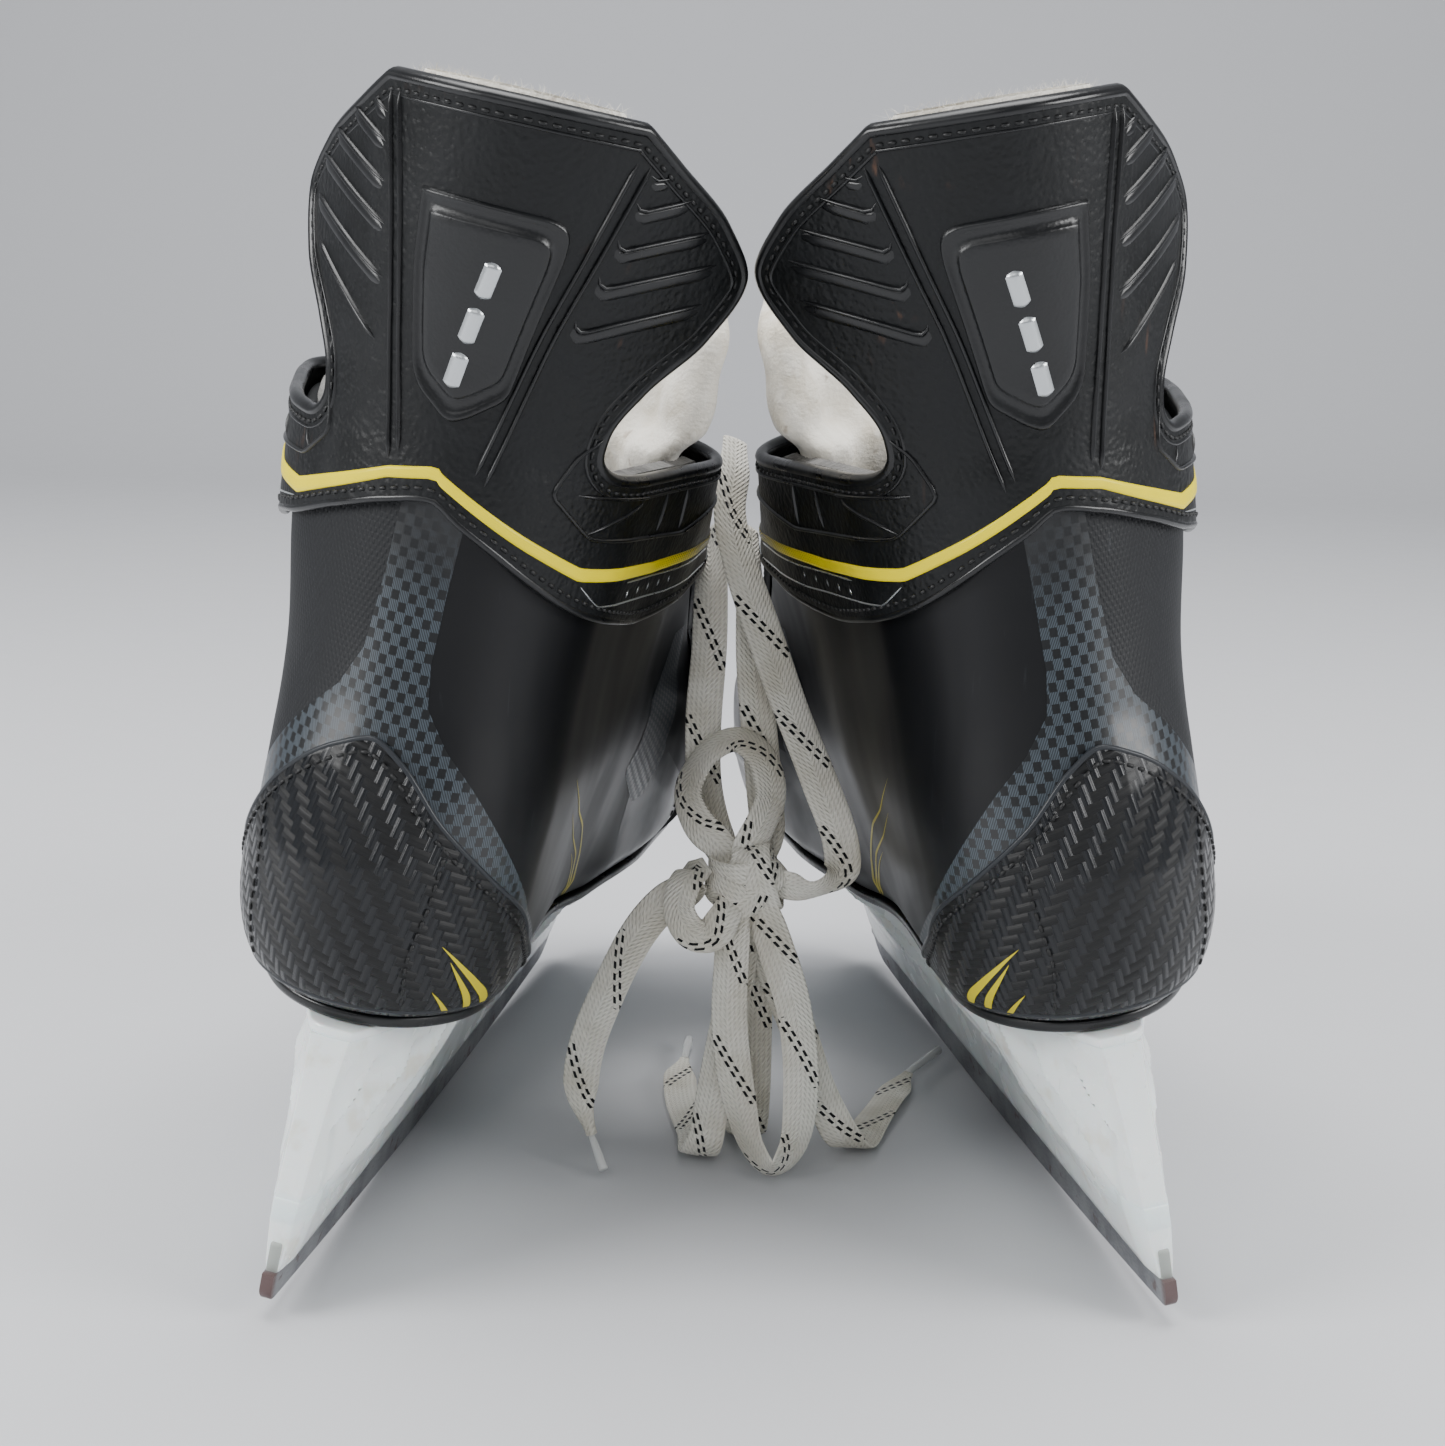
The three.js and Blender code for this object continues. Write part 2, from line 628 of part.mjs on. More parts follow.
function skate(side, { x, y, toeIn, lean }) {
  const m = side === 'left' ? -1 : 1;
  const feltFrom = TONGUE.facing + 0.3;
  const group = new THREE.Group();
  const add = (name, body, material) =>
    group.add(named(`${side}_${name}`, body.geometry(m), material));
  add('quarter_shell', quarterShell(), 'shell');
  add('toe_cap', toeCap(), 'polymer');
  add('collar', collar(), 'polymer');
  add('heel_panel', heelPanel(), 'carbon');
  add('eyestay_medial', eyestay(1), 'polymer');
  add('eyestay_lateral', eyestay(-1), 'polymer');
  add('liner', liner(), 'lining');
  add('footbed', footbed(), 'lining');
  add('outsole', outsole(), 'polymer');
  add('tongue_lower', tongueLower(), 'felt');
  add('tongue_felt', tongueTop(feltFrom, feltFrom + TONGUE.felt, TONGUE.feltTop), 'felt');
  add('tongue_facing', tongueTop(0, TONGUE.facing, TONGUE.facingTop), 'polymer');
  add('tendon_guard', tendonGuard(), 'polymer');
  add('guard_lining', guardLining(), 'felt');
  group.add(named(`${side}_blade_holder`, bladeHolder(), 'holder'));
  add('runner', runner(), 'steel');
  group.add(named(`${side}_lacing`, lacing(m), 'lace'));
  RIVETS.forEach(([rx, ry], i) => {
    const top = (rx < SOLE.breast ? SOLE.heel : SOLE.ball) - 2 * GAP - FLANGE;
    group.add(named(`${side}_rivet_${i + 1}`, rivet(rx, -m * ry, top), 'rivet'));
  });
  const inward = side === 'left' ? 1 : -1;
  group.rotation.set(inward * lean * DEG, 0, (90 - inward * toeIn) * DEG, 'ZYX');
  group.position.set(x, y, (RUNNER.thickness / 2) * Math.sin(lean * DEG)).add(SHIFT);
  return group;
}

const pair = new THREE.Group();
pair.name = 'hockey_skates';
pair.add(skate('left', STANCE.left), skate('right', STANCE.right));
pair.add(named('lace_knot', knot(), 'lace'));
Object.entries(CORDS).forEach(([name, route]) =>
  pair.add(named(name, cord(route, LACE.radius, 8, LACE.step), 'lace')),
);
Object.entries(AGLETS).forEach(([name, ends]) => pair.add(named(name, aglet(ends), 'aglet')));

export default pair;
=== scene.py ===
"""Visual model of a pair of ice hockey skates that lean on each other, tied by their laces.

Every length is in millimetres and every shape is in its skate's own frame (x forward from the heel
end of the runner, y to the medial side, z up from the ice) until Stance.place puts it in the row's
frame, in metres.
"""

from __future__ import annotations

import logging
import math
from collections.abc import Callable, Sequence
from dataclasses import dataclass, field
from enum import Enum

import bpy
import bmesh
import numpy as np
from mathutils import Euler, Matrix, Vector


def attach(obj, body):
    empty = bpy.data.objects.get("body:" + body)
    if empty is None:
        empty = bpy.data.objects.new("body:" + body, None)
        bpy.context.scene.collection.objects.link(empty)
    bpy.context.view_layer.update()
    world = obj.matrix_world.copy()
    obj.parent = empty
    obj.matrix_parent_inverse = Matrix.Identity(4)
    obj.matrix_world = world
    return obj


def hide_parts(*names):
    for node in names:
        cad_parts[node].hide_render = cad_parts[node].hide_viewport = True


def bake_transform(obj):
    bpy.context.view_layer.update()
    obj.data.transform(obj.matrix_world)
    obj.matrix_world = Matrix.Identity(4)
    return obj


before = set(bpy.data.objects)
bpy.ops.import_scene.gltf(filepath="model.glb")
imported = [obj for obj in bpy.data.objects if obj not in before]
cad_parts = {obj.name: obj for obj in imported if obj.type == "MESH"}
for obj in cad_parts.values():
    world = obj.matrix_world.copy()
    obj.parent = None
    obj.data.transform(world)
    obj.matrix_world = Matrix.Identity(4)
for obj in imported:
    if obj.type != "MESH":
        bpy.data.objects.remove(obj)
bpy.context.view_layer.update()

LOG = logging.getLogger("skates")
Array = np.ndarray
Object = bpy.types.Object
Socket = bpy.types.NodeSocket
Rows = tuple[tuple[float, ...], ...]
MM = 0.001
RUNNER_LENGTH = 286  # Length of the steel.
ROCKER_RADIUS = 2600.0  # Radius of the runner's lower edge, seen from the side.
ROCKER_MIDDLE = 150  # Where along the runner the rocker touches the ice.
STEEL_TOP = 11.6  # Height up to which the steel is drawn.

def curve(xs: Sequence[float], ys: Array, x: Array) -> Array:
    """Monotone cubic through the points (xs, ys).

    Args:
        xs: Rising places of the points.
        ys: Their values; with a second axis, one column of values for each x.
        x: Where to evaluate.

    Returns:
        The curve's values at x, held constant past both ends.
    """
    xs, ys, x = np.asarray(xs, float), np.asarray(ys, float), np.asarray(x, float)
    if ys.ndim == 1:
        ys = ys.reshape((-1,) + (1,) * x.ndim) * np.ones(x.shape)
    knots = xs.reshape((-1,) + (1,) * x.ndim)
    slopes = np.diff(ys, axis=0) / np.diff(knots, axis=0)
    before, after = slopes[:-1], slopes[1:]
    total = before + after
    inner = np.where(before * after > 0, 2 * before * after / np.where(total == 0, 1, total), 0)
    tangents = np.concatenate([slopes[:1], inner, slopes[-1:]])
    x = np.clip(x, xs[0], xs[-1])
    i = np.clip(np.searchsorted(xs, x, side="right") - 1, 0, len(xs) - 2)

    def pick(rows: Array, index: Array) -> Array:
        """The row that each x falls in."""
        return np.take_along_axis(rows, index[None], axis=0)[0]

    h = xs[i + 1] - xs[i]
    t = (x - xs[i]) / h
    a, b = pick(tangents, i) * h, pick(tangents, i + 1) * h
    low = pick(ys, i)
    d = pick(ys, i + 1) - low
    return low + t * (a + t * (3 * d - 2 * a - b + t * (a + b - 2 * d)))


def smooth(x: Array, low: float, high: float) -> Array:
    """Smooth step from 0 at low to 1 at high."""
    t = np.clip((np.asarray(x, float) - low) / (high - low), 0, 1)
    return t * t * (3 - 2 * t)


def unit(v: Array) -> Array:
    """Vectors scaled to length one."""
    return v / np.maximum(np.linalg.norm(v, axis=-1, keepdims=True), 1e-12)


@dataclass(frozen=True)
class BootForm:
    """The boot's outer surface, in a skate's own frame: x forward, y to the medial side, z up (mm)."""

    heel_arc: float = 36.0
    foot: float = 73.5
    profile: Rows = (
        (73.5, 20, 295, 52), (80, 13, 301, 54), (93, 9.5, 304, 54), (108, 9, 301, 52),
        (120, 10.5, 289, 48), (130, 12.5, 263, 42), (138, 14.5, 234, 36), (150, 17, 208, 32),
        (170, 19.5, 180, 32), (190, 20.5, 157, 32), (214, 20, 134, 32),
    )
    stations: tuple[float, ...] = (30, 75, 120, 165, 210, 250, 295)
    heights: tuple[float, ...] = (73.5, 83, 96, 115, 130, 150, 180, 214)
    widths: Rows = (
        (27.5, 28.5, 27, 32, 37, 37, 28), (32, 33, 32, 38, 43, 42, 32), (34, 35, 35, 39, 44, 43, 32),
        (34.5, 37, 38, 41, 43.5, 41, 29), (34.5, 38.5, 41, 42, 41, 36, 24), (33.5, 40, 44.5, 44.5, 40, 33, 20),
        (34, 44, 51, 50.5, 42, 30, 18), (34, 46.5, 54.5, 54, 43, 30, 18),
    )

    def row(self, index: int, z: Array) -> Array:
        """One column of the side profile at height z."""
        return curve([r[0] for r in self.profile], [r[index] for r in self.profile], z)

    def half_width(self, x: Array, z: Array) -> Array:
        """Half the boot's width at x forward and z up."""
        at_heights = np.array([curve(self.stations, w, x) for w in self.widths])
        return curve(self.heights, at_heights, z)

    def centre(self, x: Array, z: Array) -> Array:
        """Sideways place of the foot's centre line."""
        waist = curve((40, 120, 210, 300), (0, -2, -1, 2), x)
        return waist - smooth(z, 120, 190) * curve((20, 70, 120), (0.5, 5, 6.5), x)

    def sole(self, x: Array) -> Array:
        """Height of the sole's underside."""
        return 70 - 2 * smooth(x, 128, 158) + 3 * smooth(x, 282, 306)

    def skin(self, u: Array, z: Array) -> Array:
        """Points of the surface: u is 0 at the heel, +-1 at the toe, and its sign is the side."""
        u, z = np.broadcast_arrays(np.asarray(u, float), np.asarray(z, float))
        s = np.abs(u)
        back, front, rounding = (self.row(i, z) for i in (1, 2, 3))
        heel = np.clip(s / 0.25, 0, 1) * (np.pi / 2)
        toe = np.clip((1 - s) / 0.25, 0, 1) * (np.pi / 2)
        start = back + self.heel_arc
        wall = start + (s - 0.25) / 0.5 * (front - rounding - start)
        x = np.where(s < 0.25, start - self.heel_arc * np.cos(heel), wall)
        x = np.where(s > 0.75, front - rounding * (1 - np.cos(toe)), x)
        swing = np.where(s < 0.25, np.sin(heel), np.where(s > 0.75, np.sin(toe), 1.0))
        y = self.centre(x, z) + np.sign(u) * self.half_width(x, z) * swing
        drop = (self.sole(x) - 70) * np.clip(1 - (z - self.foot) / 60, 0, 1)
        return np.stack([x, y, z + drop], axis=-1)

    def normal(self, u: Array, z: Array) -> Array:
        """Outward unit normals of the surface."""
        along = self.skin(u + 0.004, z) - self.skin(u - 0.004, z)
        up = self.skin(u, z + 0.6) - self.skin(u, z - 0.6)
        return -unit(np.cross(along, up))

    def point(self, u: Array, z: Array, offset: Array) -> Array:
        """Points moved out from the surface by offset."""
        u, z, offset = np.broadcast_arrays(*(np.asarray(v, float) for v in (u, z, offset)))
        return self.skin(u, z) + self.normal(u, z) * offset[..., None]


@dataclass(frozen=True)
class GuardForm:
    """The rear face of the tendon guard, in a skate's own frame (mm)."""

    half: Rows = ((208, 33), (218, 34), (229, 39), (243, 48), (258, 52.5), (270, 47), (281, 36), (287, 29.5))

    def half_width(self, z: Array) -> Array:
        """Half the guard's width at height z."""
        return curve([r[0] for r in self.half], [r[1] for r in self.half], z)

    def back(self, z: Array) -> Array:
        """How far forward the middle of the rear face is."""
        return curve((200, 208, 225, 250, 270, 290), (17.3, 17, 15, 9, 4, -1), z)

    def bow(self, z: Array) -> Array:
        """How strongly the guard wraps around the leg."""
        return curve((208, 230, 290), (0.0165, 0.0155, 0.016), z)

    def point(self, y: Array, z: Array, depth: Array) -> Array:
        """Points at y across and z up, depth forward of the rear face."""
        y, z, depth = np.broadcast_arrays(*(np.asarray(v, float) for v in (y, z, depth)))
        bow = self.bow(z)
        lean = (self.back(z + 1) - self.back(z - 1)) / 2
        normal = unit(np.stack([np.ones_like(y), -2 * bow * y, -lean], axis=-1))
        middle = curve((208, 230, 258, 287), (-1.5, -1, 1, 2.5), z)
        face = np.stack([self.back(z) + bow * y * y, y + middle, z], axis=-1)
        return face + normal * depth[..., None]


class Side(Enum):
    """Which skate a piece belongs to, and its sign along X."""

    LEFT = "left"
    RIGHT = "right"

    @property
    def sign(self) -> int:
        """-1 on the left, +1 on the right."""
        return -1 if self is Side.LEFT else 1


@dataclass(frozen=True)
class Stance:
    """How one skate stands: runner heel on the ice, toe-in and lean toward the other skate."""

    side: Side
    x: float
    y: float
    toe_in: float
    lean: float
    shift: tuple[float, float, float] = (0.22, -142.81, 0.0)
    runner: float = 3.0

    def axes(self) -> Array:
        """Forward, medial and up directions of the skate, as rows."""
        s, yaw, lean = self.side.sign, math.radians(self.toe_in), math.radians(self.lean)
        forward = np.array([-s * math.sin(yaw), math.cos(yaw), 0.0])
        medial = np.array([-s * math.cos(yaw), -math.sin(yaw), 0.0])
        up = np.array([0.0, 0.0, 1.0])
        c, d = math.cos(lean), math.sin(lean)
        return np.array([forward, medial * c - up * d, medial * d + up * c])

    def origin(self) -> Array:
        """The skate frame's origin in the row's frame (mm)."""
        lift = self.runner / 2 * math.sin(math.radians(self.lean))
        return np.array([self.x, self.y, lift]) + np.array(self.shift)

    def place(self, points: Array) -> Array:
        """Points of the skate's frame, in the row's frame in metres."""
        return (self.origin() + np.asarray(points, float) @ self.axes()) * MM


# ------------------------------------------------------------------------------ mesh building
class Fabrication:
    """Collects grids of points as one mesh, with a UV map in millimetres."""

    def __init__(self) -> None:
        """Starts empty."""
        self.points: list[Array] = []
        self.uvs: list[Array] = []
        self.faces: list[Array] = []
        self.count = 0

    def grid(self, points: Array, out: Array, uv: Array | None = None, ring: bool = False) -> None:
        """Adds a grid of quads.

        Args:
            points: Points, shape (n, m, 3).
            out: Directions that point out of the piece, same shape or one vector.
            uv: UV of each point in millimetres, shape (n, m, 2).
            ring: Whether the second axis closes on itself.
        """
        n, m = points.shape[:2]
        index = self.count + np.arange(n * m).reshape(n, m)
        if ring:
            index = np.concatenate([index, index[:, :1]], axis=1)
        quads = np.stack([index[:-1, :-1], index[1:, :-1], index[1:, 1:], index[:-1, 1:]], axis=-1).reshape(-1, 4)
        flat = points.reshape(-1, 3)
        a, b, c, d = (flat[quads[:, k] - self.count] for k in range(4))
        normals = np.cross(c - a, d - b)
        outward = np.broadcast_to(out, points.shape).reshape(-1, 3)[quads[:, 0] - self.count]
        if (normals * outward).sum() < 0:
            quads = quads[:, ::-1]
        self.points.append(flat)
        self.uvs.append(np.zeros((n * m, 2)) if uv is None else np.broadcast_to(uv, (n, m, 2)).reshape(-1, 2))
        self.faces.append(quads)
        self.count += n * m

    def copies(self, points: Array, faces: Array) -> None:
        """Adds copies of one small shape.

        Args:
            points: Points of every copy, shape (copies, k, 3).
            faces: Quads of the shape, by its own point numbers.
        """
        copies, k = points.shape[:2]
        starts = self.count + k * np.arange(copies)
        self.points.append(points.reshape(-1, 3))
        self.uvs.append(np.zeros((copies * k, 2)))
        self.faces.append((starts[:, None, None] + faces[None]).reshape(-1, 4))
        self.count += copies * k

    def build(self, name: str, finish: "Finish", stance: Stance | None = None, merge: float = 0.0) -> Object:
        """Makes the object.

        Args:
            name: Name of the piece.
            finish: What it is made of.
            stance: The skate whose frame the points are in; without one they are in the row's frame.
            merge: Distance within which points become one (mm).

        Returns:
            The new object, at the origin, with smooth faces.
        """
        points = np.concatenate(self.points)
        faces = np.concatenate(self.faces)
        if stance is not None:
            points = stance.place(points)
            if stance.side is Side.LEFT:
                faces = faces[:, ::-1]
        else:
            points = points * MM
        mesh = bpy.data.meshes.new(name)
        mesh.from_pydata(points.tolist(), [], faces.tolist())
        layer = mesh.uv_layers.new(name="UVMap")
        loops = np.zeros(len(mesh.loops), int)
        mesh.loops.foreach_get("vertex_index", loops)
        layer.data.foreach_set("uv", np.concatenate(self.uvs)[loops].astype(np.float32).ravel())
        obj = bpy.data.objects.new(name, mesh)
        bpy.context.scene.collection.objects.link(obj)
        if merge:
            weld(obj, merge)
        mesh.shade_smooth()
        finish.apply(obj)
        return obj


def alone(obj: Object) -> Object:
    """Deselects everything, then selects obj and makes it active."""
    bpy.ops.object.select_all(action="DESELECT")
    obj.select_set(True)
    bpy.context.view_layer.objects.active = obj
    return obj


def weld(obj: Object, distance: float) -> None:
    """Merges points closer than distance (mm)."""
    shape = bmesh.new()
    shape.from_mesh(obj.data)
    bmesh.ops.remove_doubles(shape, verts=shape.verts, dist=distance * MM)
    bmesh.ops.dissolve_degenerate(shape, dist=1e-7, edges=shape.edges)
    shape.to_mesh(obj.data)
    shape.free()


def modify(obj: Object, kind: str, **settings: object) -> Object:
    """Adds a modifier and applies it.

    Args:
        obj: The piece.
        kind: Blender's name of the modifier.
        **settings: Its settings.

    Returns:
        The same object.
    """
    alone(obj)
    modifier = obj.modifiers.new(kind.title(), kind)
    for key, value in settings.items():
        setattr(modifier, key, value)
    bpy.ops.object.modifier_apply(modifier=modifier.name)
    return obj


def thicken(obj: Object, thickness: float, rounding: float = 0.0) -> Object:
    """Gives an open sheet a wall inward, and rounds its rims (mm)."""
    modify(obj, "SOLIDIFY", thickness=thickness * MM, offset=-1.0, use_even_offset=True)
    if rounding:
        modify(obj, "BEVEL", width=rounding * MM, segments=2, limit_method="ANGLE", angle_limit=math.radians(55))
        smooth_faces(obj)
    return obj


def smooth_faces(obj: Object, angle: float = 50.0) -> Object:
    """Smooth faces, with edges sharper than angle (degrees) kept crisp."""
    alone(obj)
    bpy.ops.object.shade_smooth_by_angle(angle=math.radians(angle))
    return obj


def settle(obj: Object, body: str, slot: str, *nodes: str) -> Object:
    """Lets a piece ride on a body and hides the nodes it stands for."""
    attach(obj, body)
    if nodes:
        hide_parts(*nodes)
    LOG.info("%s rides on %s with %d faces", obj.name, body, len(obj.data.polygons))
    return obj


def resample(path: Array, step: float) -> Array:
    """Points along a polyline at even spacing of about step."""
    lengths = np.concatenate([[0], np.cumsum(np.linalg.norm(np.diff(path, axis=0), axis=1))])
    count = max(2, int(round(lengths[-1] / step)) + 1)
    places = np.linspace(0, lengths[-1], count)
    return np.stack([np.interp(places, lengths, path[:, k]) for k in range(path.shape[1])], axis=-1)


def round_corners(path: Array, passes: int = 2) -> Array:
    """Cuts the corners of a polyline a few times, keeping both ends."""
    for _ in range(passes):
        a, b = path[:-1], path[1:]
        cut = np.stack([a * 0.75 + b * 0.25, a * 0.25 + b * 0.75], axis=1).reshape(-1, path.shape[1])
        path = np.concatenate([path[:1], cut[1:-1], path[-1:]])
    return path


Surface = Callable[[Array, Array, Array], Array]


@dataclass(frozen=True)
class Lie:
    """A line that lies on a surface: points, outward normals and directions along and across it."""

    points: Array
    normals: Array
    along: Array
    across: Array

    @classmethod
    def on(cls, surface: Surface, path: Array, lift: float = 0.0) -> "Lie":
        """Follows a path given by the surface's own coordinates.

        Args:
            surface: Gives points at (first, second, offset).
            path: The surface's coordinates along the line, shape (n, 2).
            lift: Height above the surface.

        Returns:
            The line.
        """
        low = surface(path[:, 0], path[:, 1], np.full(len(path), lift))
        high = surface(path[:, 0], path[:, 1], np.full(len(path), lift + 1.0))
        normals = unit(high - low)
        along = unit(np.gradient(low, axis=0))
        return cls(low, normals, along, unit(np.cross(normals, along)))

    def inset(self, distance: float) -> "Lie":
        """The same line moved sideways."""
        return Lie(self.points + self.across * distance, self.normals, self.along, self.across)

    def bead(self, into: Fabrication, width: float, height: float, sink: float = 0.25) -> None:
        """Adds a raised half-round bead along the line."""
        t = np.linspace(-1, 1, 7)
        taper = np.minimum(1, np.minimum(np.arange(len(self.points)), np.arange(len(self.points))[::-1]) / 2 + 0.2)
        side = self.across[:, None] * (t * width / 2)[None, :, None] * taper[:, None, None]
        rise = np.sqrt(np.maximum(0, 1 - t * t))[None] * (height + sink) * taper[:, None] - sink
        into.grid(self.points[:, None] + side + self.normals[:, None] * rise[..., None], self.normals[:, None])

    def tube(self, into: Fabrication, half_width: float, half_height: float | Array, depth: float | Array) -> None:
        """Adds a closed elliptical tube whose middle is depth below the line."""
        angle = np.linspace(0, 2 * np.pi, 12, endpoint=False)
        count = len(self.points)
        height = np.broadcast_to(half_height, count)[:, None, None]
        middle = self.points - self.normals * np.broadcast_to(depth, count)[:, None]
        out = self.across[:, None] * (np.cos(angle) * half_width)[None, :, None]
        out = out + self.normals[:, None] * np.sin(angle)[None, :, None] * height
        into.grid(middle[:, None] + out, out, ring=True)

    def stitches(self, into: Fabrication, pitch: float = 3.1, length: float = 2.1, radius: float = 0.36) -> None:
        """Adds one small rounded stitch every pitch along the line."""
        path = np.concatenate([self.points, self.normals], axis=1)
        even = resample(path, pitch)
        middle, normal = (even[1:, :3] + even[:-1, :3]) / 2, unit((even[1:, 3:] + even[:-1, 3:]) / 2)
        along = unit(even[1:, :3] - even[:-1, :3])
        across = unit(np.cross(normal, along))
        stations = ((-0.5, 0.3, -0.3), (-0.33, 0.95, 0.5), (0.33, 0.95, 0.5), (0.5, 0.3, -0.3))
        corners = [(math.cos(k * math.pi / 3), math.sin(k * math.pi / 3)) for k in range(6)]
        points = [
            middle + along * t * length + across * x * r * radius * 1.3 + normal * (z * r + rise) * radius
            for t, r, rise in stations
            for x, z in corners
        ]
        faces = [
            (6 * i + k, 6 * i + (k + 1) % 6, 6 * i + 6 + (k + 1) % 6, 6 * i + 6 + k) for i in range(3) for k in range(6)
        ]
        ends = [(3, 2, 1, 0), (5, 4, 3, 0), (18, 19, 20, 21), (18, 21, 22, 23)]
        into.copies(np.stack(points, axis=1), np.array(faces + ends)[:, ::-1])


def catmull(points: Array, step: float) -> Array:
    """Centripetal Catmull-Rom curve through points, at even spacing of about step."""
    first, last = 2 * points[:1] - points[1:2], 2 * points[-1:] - points[-2:-1]
    p = np.concatenate([first, points, last])
    out = []
    t = np.linspace(0, 1, 24, endpoint=False)[:, None]
    for a, b, c, d in zip(p, p[1:], p[2:], p[3:]):
        ta, tb, tc = (max(1e-6, np.linalg.norm(w[:3] - v[:3]) ** 0.5) for v, w in ((a, b), (b, c), (c, d)))
        into = (b - a) / ta - (c - a) / (ta + tb) + (c - b) / tb
        away = (c - b) / tb - (d - b) / (tb + tc) + (d - c) / tc
        m, n = into * tb, away * tb
        out.append(b + m * t + (3 * (c - b) - 2 * m - n) * t**2 + (2 * (b - c) + m + n) * t**3)
    return resample(np.concatenate(out + [points[-1:]]), step)


# ------------------------------------------------------------------------------ finishes
def linear(colour: str) -> tuple[float, float, float, float]:
    """An sRGB hex colour as linear light."""
    parts = [int(colour[i : i + 2], 16) / 255 for i in (1, 3, 5)]
    r, g, b = (c / 12.92 if c <= 0.04045 else ((c + 0.055) / 1.055) ** 2.4 for c in parts)
    return (r, g, b, 1.0)


class Web:
    """The node tree of one material."""

    def __init__(self, name: str) -> None:
        """Starts with a Principled shader and its output."""
        self.material = bpy.data.materials.new(name)
        self.material.use_nodes = True
        self.tree = self.material.node_tree
        self.shader = self.tree.nodes["Principled BSDF"]

    def add(self, kind: str, inputs: dict | None = None, out: str | int = 0, **settings: object) -> Socket:
        """Adds a node.

        Args:
            kind: Node type without its ShaderNode prefix.
            inputs: Value or source socket for each input.
            out: The output to return.
            **settings: The node's own settings.

        Returns:
            The chosen output socket.
        """
        node = self.tree.nodes.new("ShaderNode" + kind)
        for key, value in settings.items():
            setattr(node, key, value)
        for key, value in (inputs or {}).items():
            if isinstance(value, bpy.types.NodeSocket):
                self.tree.links.new(value, node.inputs[key])
            else:
                node.inputs[key].default_value = value
        return node.outputs[out]

    def maths(self, operation: str, a: Socket | float, b: Socket | float = 0.0, clamp: bool = False) -> Socket:
        """One arithmetic step."""
        return self.add("Math", {0: a, 1: b}, operation=operation, use_clamp=clamp)

    def step(self, value: Socket, low: float, high: float, to_low: float = 0.0, to_high: float = 1.0) -> Socket:
        """Smooth step of a value between two limits."""
        inputs = {"Value": value, "From Min": low, "From Max": high, "To Min": to_low, "To Max": to_high}
        return self.add("MapRange", inputs, interpolation_type="SMOOTHSTEP")

    def mix(self, factor: Socket | float, a: Socket | str, b: Socket | str) -> Socket:
        """Mixes two colours."""
        a, b = (linear(c) if isinstance(c, str) else c for c in (a, b))
        return self.add("Mix", {0: factor, 6: a, 7: b}, out=2, data_type="RGBA")

    def place(self, scale: float = 1.0, turn: float = 0.0) -> Socket:
        """Object coordinates in millimetres, divided by scale and turned about Z (degrees)."""
        where = self.add("TexCoord", out="Object")
        size = (1000 / scale,) * 3
        return self.add("Mapping", {"Vector": where, "Scale": size, "Rotation": (0, 0, math.radians(turn))})

    def flat(self) -> tuple[Socket, Socket]:
        """The piece's own UV, in millimetres."""
        where = self.add("UVMap", uv_map="UVMap")
        split = self.tree.nodes.new("ShaderNodeSeparateXYZ")
        self.tree.links.new(where, split.inputs[0])
        return split.outputs[0], split.outputs[1]

    def noise(self, size: float, detail: float = 3.0, turn: float = 0.0,
            stretch: Sequence[float] = (1, 1, 1)) -> Socket:
        """Soft noise with blotches of about size millimetres."""
        where = self.add("Mapping", {"Vector": self.place(1.0, turn), "Scale": tuple(s / size for s in stretch)})
        return self.add("TexNoise", {"Vector": where, "Scale": 1.0, "Detail": detail})

    def bump(self, *layers: tuple[Socket, float]) -> Socket:
        """Bump from several heights, each with its depth in millimetres."""
        normal: Socket | None = None
        for height, depth in layers:
            inputs = {"Height": height, "Distance": depth * MM, "Strength": 1.0}
            if normal is not None:
                inputs["Normal"] = normal
            normal = self.add("Bump", inputs)
        return normal

    def feed(self, **sockets: Socket) -> None:
        """Links sockets to the shader's inputs, by their names with _ for a space."""
        for key, value in sockets.items():
            self.tree.links.new(value, self.shader.inputs[key.replace("_", " ")])


@dataclass(frozen=True)
class Finish:
    """A finish: its shader's even values, and what varies over the surface."""

    name: str
    colour: str
    roughness: float
    metallic: float = 0.0
    specular: float = 0.5
    coat: float = 0.0
    coat_roughness: float = 0.1
    sheen: float = 0.0
    scatter: float = 0.0
    made: dict = field(default_factory=dict, compare=False, repr=False)

    def material(self) -> bpy.types.Material:
        """The material, made once."""
        if "material" not in self.made:
            web = Web(self.name)
            even = {
                "Base Color": linear(self.colour), "Roughness": self.roughness, "Metallic": self.metallic,
                "Specular IOR Level": self.specular, "Coat Weight": self.coat,
                "Coat Roughness": self.coat_roughness, "Sheen Weight": self.sheen,
                "Subsurface Weight": self.scatter, "Subsurface Scale": 0.002,
            }
            for key, value in even.items():
                web.shader.inputs[key].default_value = value
            self.detail(web)
            self.made["material"] = web.material
        return self.made["material"]

    def detail(self, web: Web) -> None:
        """Adds what varies over the surface."""
        cloud = web.noise(18)
        web.feed(Roughness=web.step(cloud, 0.3, 0.7, self.roughness * 0.85, self.roughness * 1.15))

    def apply(self, obj: Object) -> Object:
        """Dresses a piece in this finish."""
        obj.data.materials.clear()
        obj.data.materials.append(self.material())
        return obj


